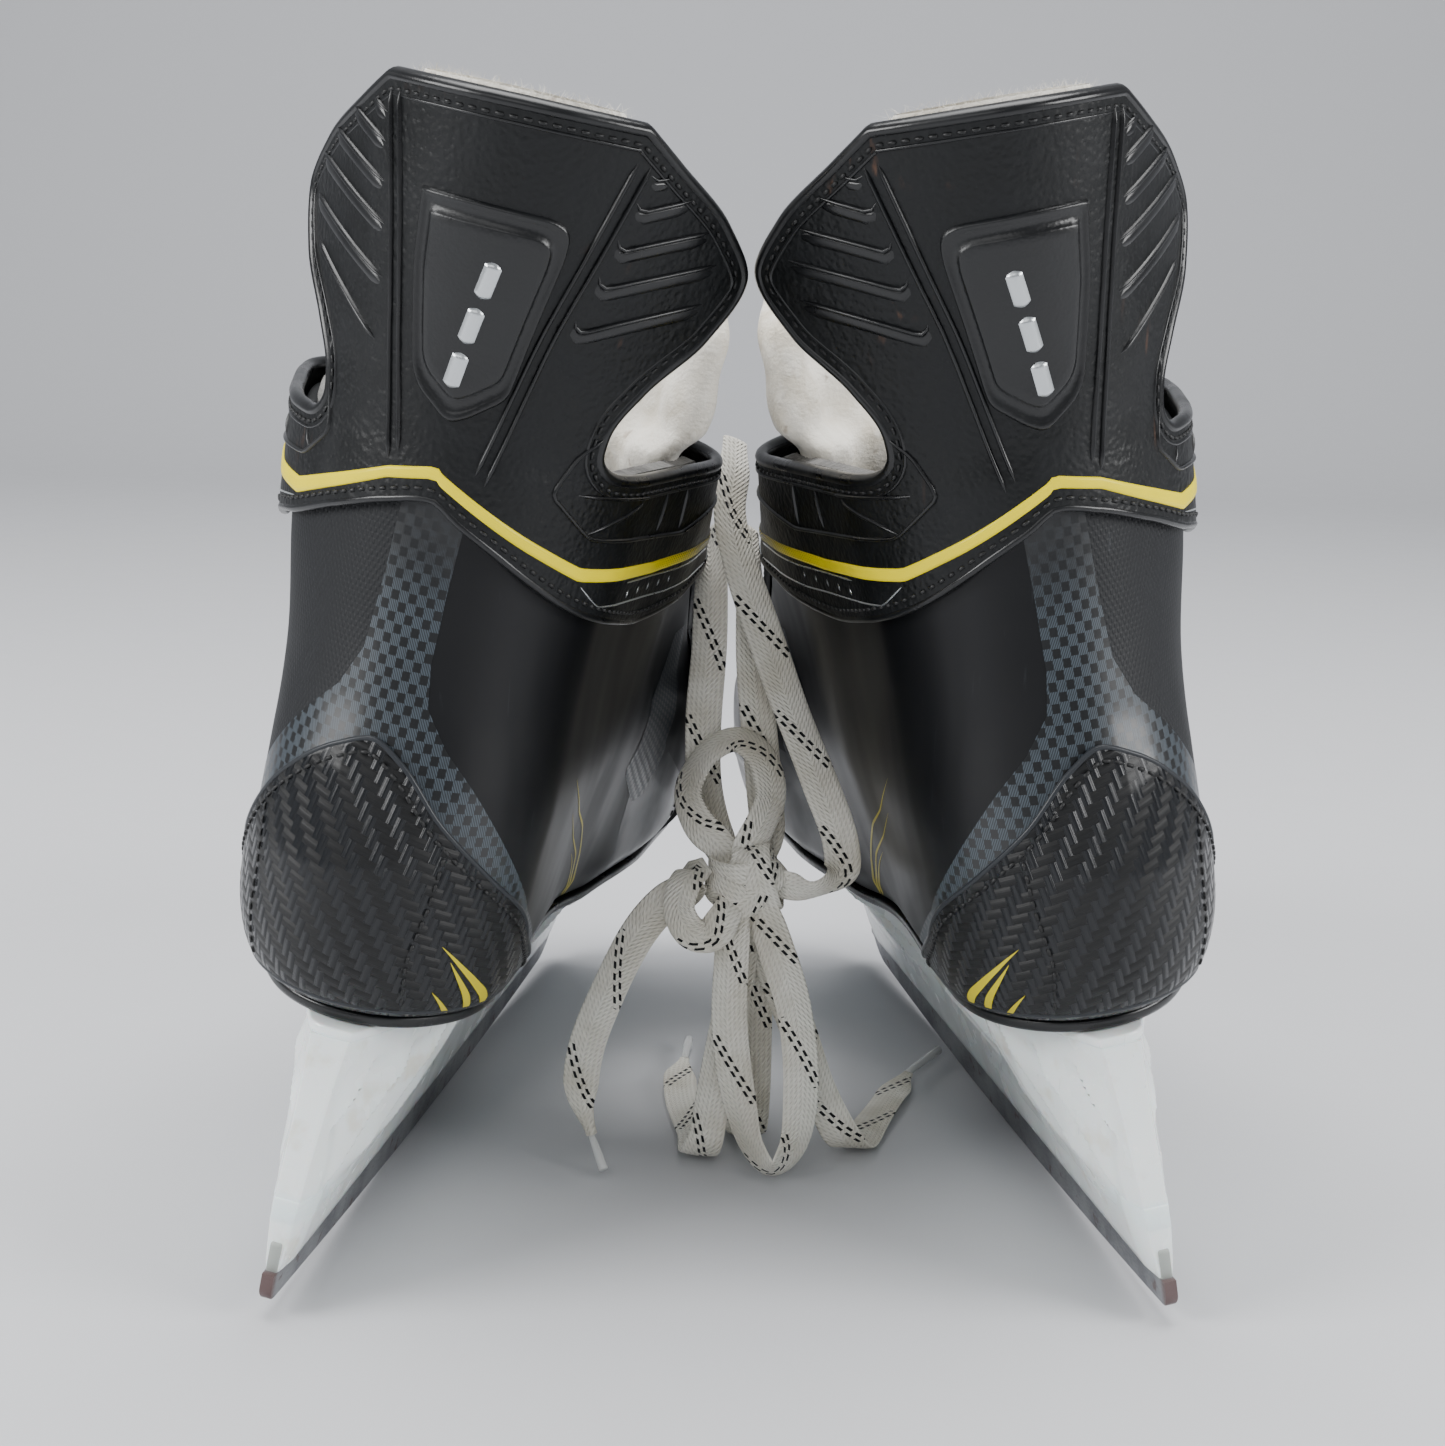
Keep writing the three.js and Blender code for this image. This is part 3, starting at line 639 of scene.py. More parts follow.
@dataclass(frozen=True)
class GrainedUrethane(Finish):
    """Moulded polyurethane with a leather grain of 1.3 mm, satin, slightly scuffed on its edges."""

    grain: float = 1.3
    depth: float = 0.2
    scuffs: bool = False

    def detail(self, web: Web) -> None:
        """Grain in the bump, cloudy gloss, and faint brown rubs where the boots touch things."""
        where = web.place(self.grain)
        cells = web.add("TexVoronoi", {"Vector": where, "Scale": 1.0}, out="Distance", feature="SMOOTH_F1")
        folds = web.noise(2.6, 4)
        cloud = web.noise(14, 4)
        base = web.mix(web.step(cloud, 0.35, 0.7), self.colour, "#0e1012")
        if self.scuffs:
            streak = web.noise(3.2, 5, 18, (1, 1, 0.12))
            spot = web.noise(21, 1)
            rub = web.maths("MULTIPLY", web.step(streak, 0.6, 0.72), web.step(spot, 0.6, 0.72))
            base = web.mix(web.maths("MULTIPLY", rub, 0.4), base, "#6b4a35")
        rough = web.step(cloud, 0.3, 0.75, self.roughness - 0.05, self.roughness + 0.08)
        web.feed(Base_Color=base, Roughness=rough, Normal=web.bump((cells, self.depth), (folds, self.depth)))


@dataclass(frozen=True)
class PebbledFilm(Finish):
    """Composite boot shell under a glossy film, pebbled every 1.5 mm on its lateral rear."""

    def detail(self, web: Web) -> None:
        """Pebbles where the UV is lateral, long soft ripples and fine scratches elsewhere."""
        u, v = web.flat()
        wave_u = web.maths("SINE", web.maths("MULTIPLY", u, 2 * math.pi / 1.7))
        row = web.maths("MULTIPLY", v, 2 * math.pi / 2.6)
        wave_v = web.maths("SINE", row)
        pebble = web.step(web.maths("MULTIPLY", wave_u, wave_v), -0.2, 0.8)
        lateral = web.step(u, -4.0, -12.0)
        height = web.maths("MULTIPLY", pebble, lateral)
        ripple = web.noise(26, 2, 0, (1, 1, 0.35))
        scratch = web.noise(1.6, 6, 35, (1, 1, 0.06))
        base = web.mix(lateral, self.colour, "#111316")
        base = web.mix(web.step(scratch, 0.66, 0.76, 0, 0.3), base, "#3a3d42")
        worn = web.step(ripple, 0.3, 0.7, self.roughness - 0.05, self.roughness + 0.07)
        rough = web.maths("ADD", worn, web.maths("MULTIPLY", lateral, 0.12))
        web.feed(Base_Color=base, Roughness=rough, Normal=web.bump((ripple, 0.35), (height, 0.09)))


@dataclass(frozen=True)
class TwillComposite(Finish):
    """Woven 2 by 2 twill composite, tows 2.3 mm wide, under a clear gloss."""

    tow: float = 2.3

    def detail(self, web: Web) -> None:
        """Two families of tows that catch the light differently; the lighter base colour of one family is a painted
        sheen.
        """
        u, v = web.flat()
        a = web.maths("DIVIDE", u, self.tow)
        b = web.maths("DIVIDE", v, self.tow)
        column = web.maths("FLOOR", a)
        step = web.maths("FRACT", web.maths("DIVIDE", web.maths("ADD", web.maths("FLOOR", b), column), 4.0))
        over = web.maths("LESS_THAN", step, 0.49)
        across = web.maths("SINE", web.maths("MULTIPLY", web.maths("FRACT", a), math.pi))
        along = web.maths("SINE", web.maths("MULTIPLY", web.maths("FRACT", b), math.pi))
        height = web.add("Mix", {0: over, 2: along, 3: across}, data_type="FLOAT")
        fibre = web.maths("SINE", web.maths("MULTIPLY", web.add("Mix", {0: over, 2: v, 3: u}, data_type="FLOAT"), 16.0))
        # painted sheen: the tows of one family get a lighter base colour than the other
        base = web.mix(over, "#08090a", "#15171a")
        rough = web.step(over, 0.0, 1.0, 0.5, 0.24)
        web.feed(Base_Color=base, Roughness=rough, Normal=web.bump((height, 0.5), (fibre, 0.012)))


@dataclass(frozen=True)
class CheckPrint(Finish):
    """Screen-printed grey-blue film with dark squares on a 4.4 mm lattice, the grey finely hatched."""

    cell: float = 2.5
    fade: tuple[float, float] = (196.0, 168.0)

    def detail(self, web: Web) -> None:
        """Squares, hatching, and a fade to black toward the top."""
        u, v = web.flat()
        a = web.maths("DIVIDE", u, self.cell)
        b = web.maths("DIVIDE", v, self.cell)
        parity = web.maths("FRACT", web.maths("MULTIPLY",
            web.maths("ADD", web.maths("FLOOR", a), web.maths("FLOOR", b)), 0.5))
        near = web.maths("ABSOLUTE", web.maths("SUBTRACT", web.maths("FRACT", a), 0.5))
        level = web.maths("ABSOLUTE", web.maths("SUBTRACT", web.maths("FRACT", b), 0.5))
        inside = web.maths("LESS_THAN", web.maths("MAXIMUM", near, level), 0.44)
        square = web.maths("MULTIPLY", web.maths("LESS_THAN", parity, 0.25), inside)
        hatch = web.maths("SINE", web.maths("MULTIPLY", web.maths("ADD", u, web.maths("MULTIPLY", v, 0.6)), 9.0))
        grey = web.mix(web.step(hatch, -0.4, 0.6), "#1f262c", "#3f4951")
        blotch = web.noise(2.2, 5)
        high = web.maths("MULTIPLY", web.step(v, *self.fade), web.step(blotch, 0.3, 0.5, 0.75, 1.0))
        fine = web.mix(web.step(v, self.fade[1], self.fade[0]), grey,
            web.mix(web.step(blotch, 0.42, 0.6), "#0d0f11", "#272d33"))
        base = web.mix(square, fine, "#0e1012")
        base = web.mix(high, web.mix(0.8, base, "#0f1113"), base)
        web.feed(Base_Color=base, Roughness=web.step(square, 0, 1, 0.42, 0.3))


@dataclass(frozen=True)
class HalftoneFilm(Finish):
    """Glossy yellow film that breaks into halftone dots toward the lacing."""

    def detail(self, web: Web) -> None:
        """Dots of 0.9 mm that grow with the distance along the stripe."""
        u, v = web.flat()
        dots = [web.maths("SINE", web.maths("MULTIPLY", w, 2 * math.pi / 1.25)) for w in (u, v)]
        screen = web.maths("MULTIPLY", dots[0], dots[1])
        far = web.step(web.maths("ABSOLUTE", u), 50.0, 120.0, 1.1, -0.75)
        base = web.mix(web.maths("GREATER_THAN", screen, far), self.colour, "#17181a")
        edge = web.step(web.noise(9, 2), 0.35, 0.7, 0.9, 1.0)
        web.feed(Base_Color=web.mix(edge, "#b3a200", base), Normal=web.bump((web.noise(5, 2), 0.05)))


@dataclass(frozen=True)
class WoolFelt(Finish):
    """Pressed wool felt, matted and off-white, with fibres on its face and brown rust spots."""

    spots: float = 0.5
    # colour taken by the bump's hollows in broad patches: painted shade, partly dirt
    darker_tone: str = "#d6cdb9"

    def detail(self, web: Web) -> None:
        """Matted fibres in the bump, hollows painted darker as shade and yellower as dirt, rare stains."""
        fibre = web.noise(0.9, 8, 25, (1.0, 0.35, 1.0))
        mat = web.noise(5.5, 5)
        broad = web.noise(24, 3)
        stain = web.maths("MULTIPLY", web.step(web.noise(6.5, 6), 0.66, 0.74), self.spots)
        # painted shade in the hollows: where the matted bump is low the colour turns to the darker tone, partly dirt
        base = web.mix(web.step(broad, 0.35, 0.75), self.colour,
            web.mix(web.step(mat, 0.4, 0.7), self.darker_tone, self.colour))
        base = web.mix(stain, base, "#7c5a3c")
        web.feed(Base_Color=base, Normal=web.bump((mat, 0.9), (fibre, 0.35)))


@dataclass(frozen=True)
class MouldedNylon(Finish):
    """Injection-moulded nylon, pale mint-white and glossy, yellowed and nicked on its edges."""

    def detail(self, web: Web) -> None:
        """Slight ripple, faint grey scratches and warm rubs low on the blade side."""
        scratch = web.noise(1.4, 7, -28, (1, 1, 0.08))
        mark = web.step(scratch, 0.68, 0.76, 0, 0.45)
        rub = web.maths("MULTIPLY", web.step(web.noise(11, 4), 0.58, 0.74), 0.35)
        base = web.mix(rub, web.mix(mark, self.colour, "#8f9a9c"), "#cdbf9f")
        rough = web.step(web.noise(16, 3), 0.3, 0.7, self.roughness - 0.04, self.roughness + 0.1)
        web.feed(Base_Color=base, Roughness=rough, Normal=web.bump((web.noise(20, 2), 0.12), (scratch, 0.01)))


@dataclass(frozen=True)
class GroundSteel(Finish):
    """Hardened stainless runner, ground lengthways and dulled, with brown rust at its ends."""

    rust: float = 1.0
    rear: float = -1.0

    def detail(self, web: Web) -> None:
        """Grinding lines along Y, darker patches, rust where water sits."""
        lines = web.noise(0.35, 6, 0, (1, 0.02, 1))
        patch = web.noise(13, 5)
        spots = web.maths("MULTIPLY", web.step(web.noise(4.5, 6), 0.6, 0.7), 0.7 * self.rust)
        where = web.add("TexCoord", out="Object")
        split = web.tree.nodes.new("ShaderNodeSeparateXYZ")
        web.tree.links.new(where, split.inputs[0])
        heel = web.step(split.outputs[1], self.rear, self.rear - 0.003, 0.0, 0.8 * self.rust)
        base = web.mix(web.step(patch, 0.3, 0.7), self.colour, "#85868a")
        base = web.mix(web.maths("MAXIMUM", spots, heel), base, "#54332d")
        rough = web.step(lines, 0.3, 0.7, self.roughness - 0.08, self.roughness + 0.12)
        metal = web.step(web.maths("MAXIMUM", spots, heel), 0.0, 1.0, 1.0, 0.25)
        web.feed(Base_Color=base, Roughness=rough, Metallic=metal, Normal=web.bump((lines, 0.01)))


@dataclass(frozen=True)
class WovenLace(Finish):
    """Flat woven polyester, off-white, with two rows of black tracer dashes wandering over it."""

    half: float = 4.7
    lap: float = 33.0

    def detail(self, web: Web) -> None:
        """Herringbone weave of 1.1 mm in the bump and dashes 1.7 mm long along the tracers."""
        along, across = web.flat()
        slant = web.maths("ADD", web.maths("MULTIPLY", web.maths("ABSOLUTE", across), 1.2), along)
        weave = web.maths("SINE", web.maths("MULTIPLY", slant, 2 * math.pi / 1.5))
        rows = web.maths("SINE", web.maths("MULTIPLY", across, 2 * math.pi / 1.3))
        cloth = web.maths("MULTIPLY", weave, web.maths("ADD", web.maths("MULTIPLY", rows, 0.5), 0.6))
        phase = web.maths("FRACT", web.maths("DIVIDE", along, self.lap))
        swing = web.maths("MULTIPLY", web.maths("SUBTRACT", phase, 0.31), 3.2 * self.half)
        shown = web.maths("LESS_THAN", phase, 0.62)
        total: Socket | float = 0.0
        for shift, start in ((-0.85, 0.0), (0.85, 0.45)):
            gap = web.maths("ABSOLUTE", web.maths("SUBTRACT", web.maths("ADD", swing, shift), across))
            dash = web.maths("FRACT", web.maths("ADD", web.maths("DIVIDE", along, 2.9), start))
            on = web.maths("MULTIPLY", web.maths("LESS_THAN", gap, 0.42), web.maths("LESS_THAN", dash, 0.6))
            total = web.maths("MAXIMUM", on, total)
        black = web.maths("MULTIPLY", total, shown)
        darker_tone = web.noise(17, 4)
        base = web.mix(web.step(darker_tone, 0.35, 0.75), self.colour, "#d8d2c2")
        # painted shade: the low parts of the weave's bump are darkened
        base = web.mix(web.step(cloth, -0.9, 0.0, 0.35, 0.0), base, "#a9a394")
        web.feed(Base_Color=web.mix(black, base, "#111214"), Normal=web.bump((cloth, 0.16), (web.noise(0.5, 4), 0.12)))


class Kit:
    """Every finish on the pair."""

    # Moulded TPU: satin black with soft, wide highlights broken up by the grain.
    cuff = GrainedUrethane("Moulded urethane, leather grained", "#090b0c", 0.44, specular=0.3, scuffs=True)
    badge = GrainedUrethane("Moulded urethane, fine grained", "#08090b", 0.33, specular=0.5, grain=0.8, depth=0.05)
    trim = GrainedUrethane("Moulded urethane, plain", "#08090b", 0.3, specular=0.5, grain=1.8, depth=0.03)
    # Film-faced composite: near black with long blue-grey reflections.
    shell = PebbledFilm("Film-faced composite shell", "#06070a", 0.42, specular=0.3, coat=0.04, coat_roughness=0.2)
    carbon = TwillComposite("Twill composite, clear coated", "#0a0b0d", 0.3, specular=0.3, coat=0.2,
        coat_roughness=0.08)
    check = CheckPrint("Printed check film", "#3a444c", 0.36, coat=0.2)
    mesh_print = CheckPrint("Printed check film, dark", "#2a3036", 0.4, cell=1.7, fade=(400.0, 300.0))
    yellow = HalftoneFilm("Yellow gloss film", "#f2de00", 0.35, specular=0.2, coat=0.05)
    plain_yellow = Finish("Yellow ink", "#c4b400", 0.4)
    silver = Finish("Silver film", "#c4c8ca", 0.28, metallic=0.8)
    smoke = Finish("Grey translucent film", "#26292d", 0.4, specular=0.3, coat=0.1)
    thread = Finish("Black bonded thread", "#08090a", 0.5)
    # Wool: no gloss at all, a bright fuzzy edge.
    felt = WoolFelt("Pressed wool felt", "#f7f3e9", 0.95, specular=0.15, sheen=0.35)
    # the hollows of the lining and the footbed are painted darker as shade
    lining = WoolFelt("Brushed grey lining", "#777674", 0.95, specular=0.15, sheen=0.2, spots=0.0, darker_tone="#3e3d3c")
    insole = WoolFelt("Pressed foam footbed", "#2b2d30", 0.9, specular=0.2, spots=0.0, darker_tone="#1f2022")
    # Nylon lets a little light in, so its facets look soft and milky.
    nylon = MouldedNylon("Moulded nylon, pale mint", "#f4fbfa", 0.2, coat=0.3, scatter=0.15)
    steel = {
        side: GroundSteel(f"Ground stainless steel, {side.value}", "#a6a7aa", 0.5, metallic=0.35, rear=rear)
        for side, rear in ((Side.LEFT, -0.1435), (Side.RIGHT, -0.1355))
    }
    tab = Finish("Grey nylon", "#9fa49f", 0.45)
    rivet = GroundSteel("Steel rivet", "#8d9094", 0.35, metallic=1.0, rust=0.2)
    lace = WovenLace("Woven polyester lace", "#f6f3e8", 0.85, specular=0.2, sheen=0.2)
    clear = Finish("Clear lace tip", "#d5d6d4", 0.2, coat=0.5)
    smoked = Finish("Smoked lace tip", "#54565a", 0.25, coat=0.5)
    # Seamless paper: matt, light grey.
    paper = Finish("Pale grey paper", "#c9cacd", 0.85, specular=0.2)


# ------------------------------------------------------------------------------ sub-assemblies
BOOT = BootForm()
GUARD = GuardForm()


def line(*points: tuple[float, float], step: float = 1.5, passes: int = 2) -> Array:
    """A path through points given by a surface's own coordinates, with its corners eased."""
    path = np.array(points, float)
    return resample(round_corners(resample(path, 2.5), passes) if passes else path, step)


@dataclass(frozen=True)
class CuffForm:
    """One skin over the collar and the tendon guard: a across (mm, + medial), z up."""

    foot: float = 208.0
    corner: float = 39.0
    fillet: float = 6.0
    side: float = 120.0
    front: float = 0.9
    collar: float = 3.2
    lower: Rows = (
        (-122, 177), (-80, 175), (-60, 176), (-46, 180.5), (-37, 184), (-25, 189.5), (-10, 195.2),
        (0, 197.4), (8, 193), (16, 188.4), (33, 177), (43, 172.5), (60, 169.5), (80, 171), (122, 177),
    )

    def turn(self, a: Array) -> Array:
        """The boot's own u at a across."""
        u = np.linspace(0, 0.24, 60)
        out = np.zeros_like(a)
        for sign in (-1, 1):
            y = np.abs(BOOT.point(sign * u, 205.0, self.collar)[:, 1] + 1.5)
            y[0] = 0
            edge = np.interp(self.corner, y, u)
            near = np.interp(np.abs(a), y, u)
            far = edge + (np.abs(a) - self.corner) / self.side
            value = np.where(np.abs(a) < self.corner, near, np.minimum(far, self.front))
            out = np.where(np.sign(a) == sign, sign * value, out)
        return out

    def half(self, z: Array) -> Array:
        """Half width of the guard, widened into a round dip at its foot."""
        h = np.clip((self.fillet - (z - self.foot)) / self.fillet, 0, 1)
        return GUARD.half_width(z) + self.fillet * (1 - np.sqrt(1 - h * h))

    def bottom(self, a: Array) -> Array:
        """Height of the collar's lower edge."""
        return curve([r[0] for r in self.lower], [r[1] for r in self.lower], a)

    def point(self, a: Array, z: Array, d: Array) -> Array:
        """Points at a across and z up, d out of the skin."""
        a, z, d = np.broadcast_arrays(*(np.asarray(v, float) for v in (a, z, d)))
        near = np.abs(a) / self.corner
        start = 203 + 5 * smooth(near, 0.6, 1.0)
        weight = smooth((z - start) / 11, 0, 1)[..., None]
        boot = BOOT.point(self.turn(a), z, self.collar + d)
        return boot * (1 - weight) + GUARD.point(a, z, -d) * weight

    def wall(self, z: Array) -> Array:
        """Thickness of the moulding."""
        return 1.8 + 2.4 * smooth(z, 205, 214)


CUFF = CuffForm()


@dataclass
class Cuff:
    """The moulded collar and tendon guard: skin, rolled rim, ribs, badge, stripe and stitches."""

    stance: Stance
    top: float = 287.0
    columns: int = 64
    rows: int = 60
    reach: float = 121.0
    ridges: Sequence[Sequence[tuple[float, float]]] = (
        ((-27.8, 283.5), (-17.8, 239), (-11.5, 204)),
        ((30.8, 279.5), (20.2, 241), (11.5, 203)),
        ((-44.2, 246), (-31.8, 237.5), (-20.2, 229)),
        ((-25.2, 283.5), (-15.4, 239), (-9.3, 206)),
        ((28.2, 279.5), (17.7, 241), (9.2, 205)),
    )
    ribs: Sequence[Sequence[tuple[float, float]]] = (
        ((-32.8, 281), (-27.9, 278.2)),
        ((-39.2, 278), (-27, 272)),
        ((-44.8, 272.2), (-25.6, 263.5)),
        ((-48.6, 265.8), (-23.4, 254.5)),
        ((-48.5, 256.2), (-21.2, 243)),
        ((35, 278), (31.3, 275.8), (31.0, 277.4)),
        ((39.6, 274), (30.2, 269.2), (29.4, 271.2)),
        ((44, 267.8), (28.2, 260.2), (27.4, 262.6)),
        ((46.4, 260.8), (26.2, 251.2), (25.4, 254)),
        ((45.5, 251.5), (23.6, 240.6), (22.8, 243.6)),
    )
    panels: Sequence[Sequence[tuple[float, float]]] = (
        ((121, 199), (76, 191), (34, 193.5), (25, 203.5), (29, 213), (33.5, 218)),
        ((-33.5, 226), (-31.5, 214), (-29.5, 205), (-37, 197.2), (-46, 196.5), (-80, 194), (-121, 199)),
        ((33, 194.5), (44, 202.5)),
        ((48, 203), (30, 203.8)),
        ((62, 203.4), (58, 193)),
        ((78, 203.4), (74, 192)),
        ((-37.5, 203.5), (-35, 198)),
        ((-48, 203.5), (-46, 197)),
    )
    badge: Sequence[tuple[float, float]] = (
        (-14.8, 265.2), (18.4, 264.2), (18.7, 258.5), (13, 223.2), (1.8, 214.5), (-8.7, 223), (-13.9, 251),
    )
    stripe: Rows = (
        (-121, 186.5, 189.4), (-80, 188, 190.9), (-58, 190.2, 193.1), (-37.5, 187.4, 191.4), (-37.4, 187.4, 191.4),
        (-11, 199.8, 202.6), (-1, 202.0, 204.9), (0, 202.0, 204.9), (33.5, 183.3, 186.6), (33.6, 183.3, 186.6),
        (60, 181.8, 184.9), (100, 182.5, 185.0), (121, 183, 185.2),
    )

    @property
    def name(self) -> str:
        """The side's name."""
        return self.stance.side.value

    def skin(self) -> Object:
        """The moulding itself, one sheet around the heel and up the guard."""
        cloth = Fabrication()
        t = np.linspace(-1, 1, self.columns + 1)
        side = np.linspace(0, 1, 56)[1:]
        spread = CUFF.corner + side * (self.reach - CUFF.corner)
        across = np.concatenate([-spread[::-1], t * CUFF.corner, spread])
        b = np.linspace(0, 1, 30)
        a, low = across[:, None] + 0 * b, CUFF.bottom(across)[:, None]
        z = low + (CUFF.foot - low) * b
        self.lay(cloth, a, z)
        rise = CUFF.foot + (self.top - CUFF.foot) * np.linspace(0, 1, self.rows) ** 1.15
        self.lay(cloth, t[:, None] * CUFF.half(rise)[None], rise[None] + 0 * t[:, None])
        obj = cloth.build(f"{self.name}_cuff", Kit.cuff, self.stance, merge=0.05)
        return obj

    def lay(self, cloth: Fabrication, a: Array, z: Array) -> None:
        """Adds a patch of the skin."""
        points = CUFF.point(a, z, 0.0)
        cloth.grid(points, CUFF.point(a, z, 1.0) - points, np.stack([a, z], axis=-1))

    def border(self) -> Array:
        """The free upper edge: along the collar, down the dips and around the guard."""
        rise = CUFF.foot + (self.top - CUFF.foot) * np.linspace(0, 1, 90) ** 1.3
        left = [(a, CUFF.foot) for a in np.linspace(-self.reach, -CUFF.corner - 1, 60)]
        up = [(-float(CUFF.half(np.array(z))), z) for z in rise]
        over = [(a, self.top) for a in np.linspace(-29.5, 29.5, 40)[1:-1]]
        return resample(np.array(left + up + over + [(-a, z) for a, z in (left + up)[::-1]]), 1.1)

    def moulding(self, relief: Fabrication) -> None:
        """Rolled rims, ribs and the outlines of the lower panels."""
        edge = Lie.on(CUFF.point, self.border())
        tall = CUFF.wall(self.border()[:, 1]) / 2
        edge.inset(0.9).tube(relief, 1.7, tall + 0.6, tall)
        edge.inset(4.9).bead(relief, 0.9, 0.3)
        across = np.linspace(-self.reach, self.reach, 190)
        hem = Lie.on(CUFF.point, np.stack([across, CUFF.bottom(across)], axis=-1))
        hem.tube(relief, 1.0, 1.15, 0.9)
        for path in self.ridges:
            Lie.on(CUFF.point, line(*path)).bead(relief, 1.3, 0.85)
        for path in self.ribs:
            Lie.on(CUFF.point, line(*path, passes=1)).bead(relief, 1.3, 0.85)
            shade = np.array([(a, z - 1.6) for a, z in path])
            Lie.on(CUFF.point, line(*map(tuple, shade), passes=1)).bead(relief, 3.4, 0.42)
        for path in self.panels:
            Lie.on(CUFF.point, line(*path, passes=1)).bead(relief, 1.2, 0.7)

    def plate(self) -> Object:
        """The raised shield in the middle of the guard, with a stepped and bevelled border."""
        corners = np.array(self.badge + (self.badge[0],))
        outline = round_corners(resample(corners, 5.0), 3)[:-1]
        middle = outline.mean(axis=0)
        cloth = Fabrication()
        steps = ((1.0, 0.0), (0.985, 0.8), (0.96, 1.1), (0.925, 0.5), (0.88, 0.35), (0.81, 0.35), (0.79, 1.2),
            (0.765, 1.4))
        rings = steps + tuple((0.765 * k, 1.4) for k in (0.9, 0.75, 0.6, 0.45, 0.3, 0.15, 0.0005))
        flat = np.array([middle + (outline - middle) * scale for scale, _ in rings])
        height = np.array([h for _, h in rings])[:, None] + 0 * flat[..., 0]
        points = CUFF.point(flat[..., 0], flat[..., 1], height)
        up = CUFF.point(flat[..., 0], flat[..., 1], height + 1) - points
        cloth.grid(points, up, ring=True)
        return cloth.build(f"{self.name}_shield", Kit.badge, self.stance, merge=0.01)

    def stripe_band(self, rows: Rows, lift: float) -> tuple[Array, Array, Array]:
        """A flat band between two heights given along the collar.

        Args:
            rows: Place across, lower and upper height, at each bend.
            lift: Height over the skin.

        Returns:
            Points, outward directions and UV of the band, domed a little across.
        """
        path = resample(np.array(rows, float), 1.0)
        b = np.array([0.0, 0.06, 0.3, 0.7, 0.94, 1.0])
        dome = np.array([-0.1, 0.8, 1.0, 1.0, 0.8, -0.1]) * lift
        a = path[:, :1] + 0 * b
        z = path[:, 1:2] + (path[:, 2:3] - path[:, 1:2]) * b
        points = CUFF.point(a, z, dome[None] + 0 * a)
        out = CUFF.point(a, z, dome[None] + 1 + 0 * a) - points
        return points, out, np.stack([a, z], axis=-1)

    def trims(self) -> tuple[Object, Object]:
        """The yellow stripe, and the thin silver outline of the dark block below it."""
        yellow, silver = Fabrication(), Fabrication()
        yellow.grid(*self.stripe_band(self.stripe, 0.45))
        for path in (
            ((33.6, 182.8), (38, 177), (70, 175.3), (104, 176.5), (112, 182)),
            ((-37.5, 186.8), (-46, 184.2), (-80, 183), (-104, 184), (-112, 187)),
            ((45, 181.6), (75, 180.6), (104, 181.4)),
        ):
            Lie.on(CUFF.point, line(*path, passes=0)).bead(silver, 0.55, 0.25)
        for a in (47, 53, 59, 65, 71):
            Lie.on(CUFF.point, line((a, 176.9), (a + 1.4, 179.9), passes=0)).bead(silver, 1.5, 0.4)
        return (
            yellow.build(f"{self.name}_stripe", Kit.yellow, self.stance),
            silver.build(f"{self.name}_outline", Kit.silver, self.stance),
        )

    def emblem(self) -> Object:
        """Three plain bars of bright metal film down the shield."""
        metal = Fabrication()
        raised = lambda a, z, d: CUFF.point(a, z, 1.3 + d)
        for a, z in ((4.0, 253.0), (2.5, 242.5), (1.0, 232.0)):
            bar = line((a + 0.7, z), (a - 0.7, z - 8.4), passes=0, step=0.5)
            Lie.on(raised, bar).bead(metal, 4.4, 0.9)
        return metal.build(f"{self.name}_shield_bars", Kit.silver, self.stance)

    def sewing(self) -> Object:
        """Stitches inside the rim and above the lower edge."""
        thread = Fabrication()
        Lie.on(CUFF.point, self.border()).inset(3.6).stitches(thread)
        across = np.linspace(-self.reach, self.reach, 190)
        Lie.on(CUFF.point, np.stack([across, CUFF.bottom(across) + 2.4], axis=-1)).stitches(thread)
        return thread.build(f"{self.name}_cuff_stitching", Kit.thread, self.stance)

    def bend(self, obj: Object, slot: str, *nodes: str) -> None:
        """Bakes a piece's placement into its mesh and hides the nodes it stands for."""
        start, end = self.stance.place(np.array([(17, 0, 208.6), (15, 0, 224)]))
        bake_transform(obj)
        if nodes:
            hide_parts(*nodes)
        LOG.info("%s bends with the guard, %d faces", obj.name, len(obj.data.polygons))

    def build(self) -> None:
        """Builds every piece of the cuff."""
        skin = self.skin()
        thick = skin.vertex_groups.new(name="wall")
        heights = np.array([v.co[:] for v in skin.data.vertices])
        up = (heights / MM - self.stance.origin()) @ self.stance.axes()[2]
        for index, value in enumerate(CUFF.wall(up) / 4.2):
            thick.add([index], float(value), "REPLACE")
        modify(skin, "SOLIDIFY", thickness=4.2 * MM, offset=-1.0, vertex_group="wall")
        skin.vertex_groups.clear()
        relief = Fabrication()
        self.moulding(relief)
        ribs = relief.build(f"{self.name}_cuff_relief", Kit.trim, self.stance)
        self.bend(skin, "polymer", f"{self.name}_collar", f"{self.name}_tendon_guard")
        self.bend(ribs, "polymer")
        self.bend(self.plate(), "polymer")
        self.bend(self.sewing(), "polymer")
        self.bend(self.emblem(), "polymer")
        for piece in self.trims():
            settle(piece, f"{self.name}_skate", "polymer")
        self.lining()

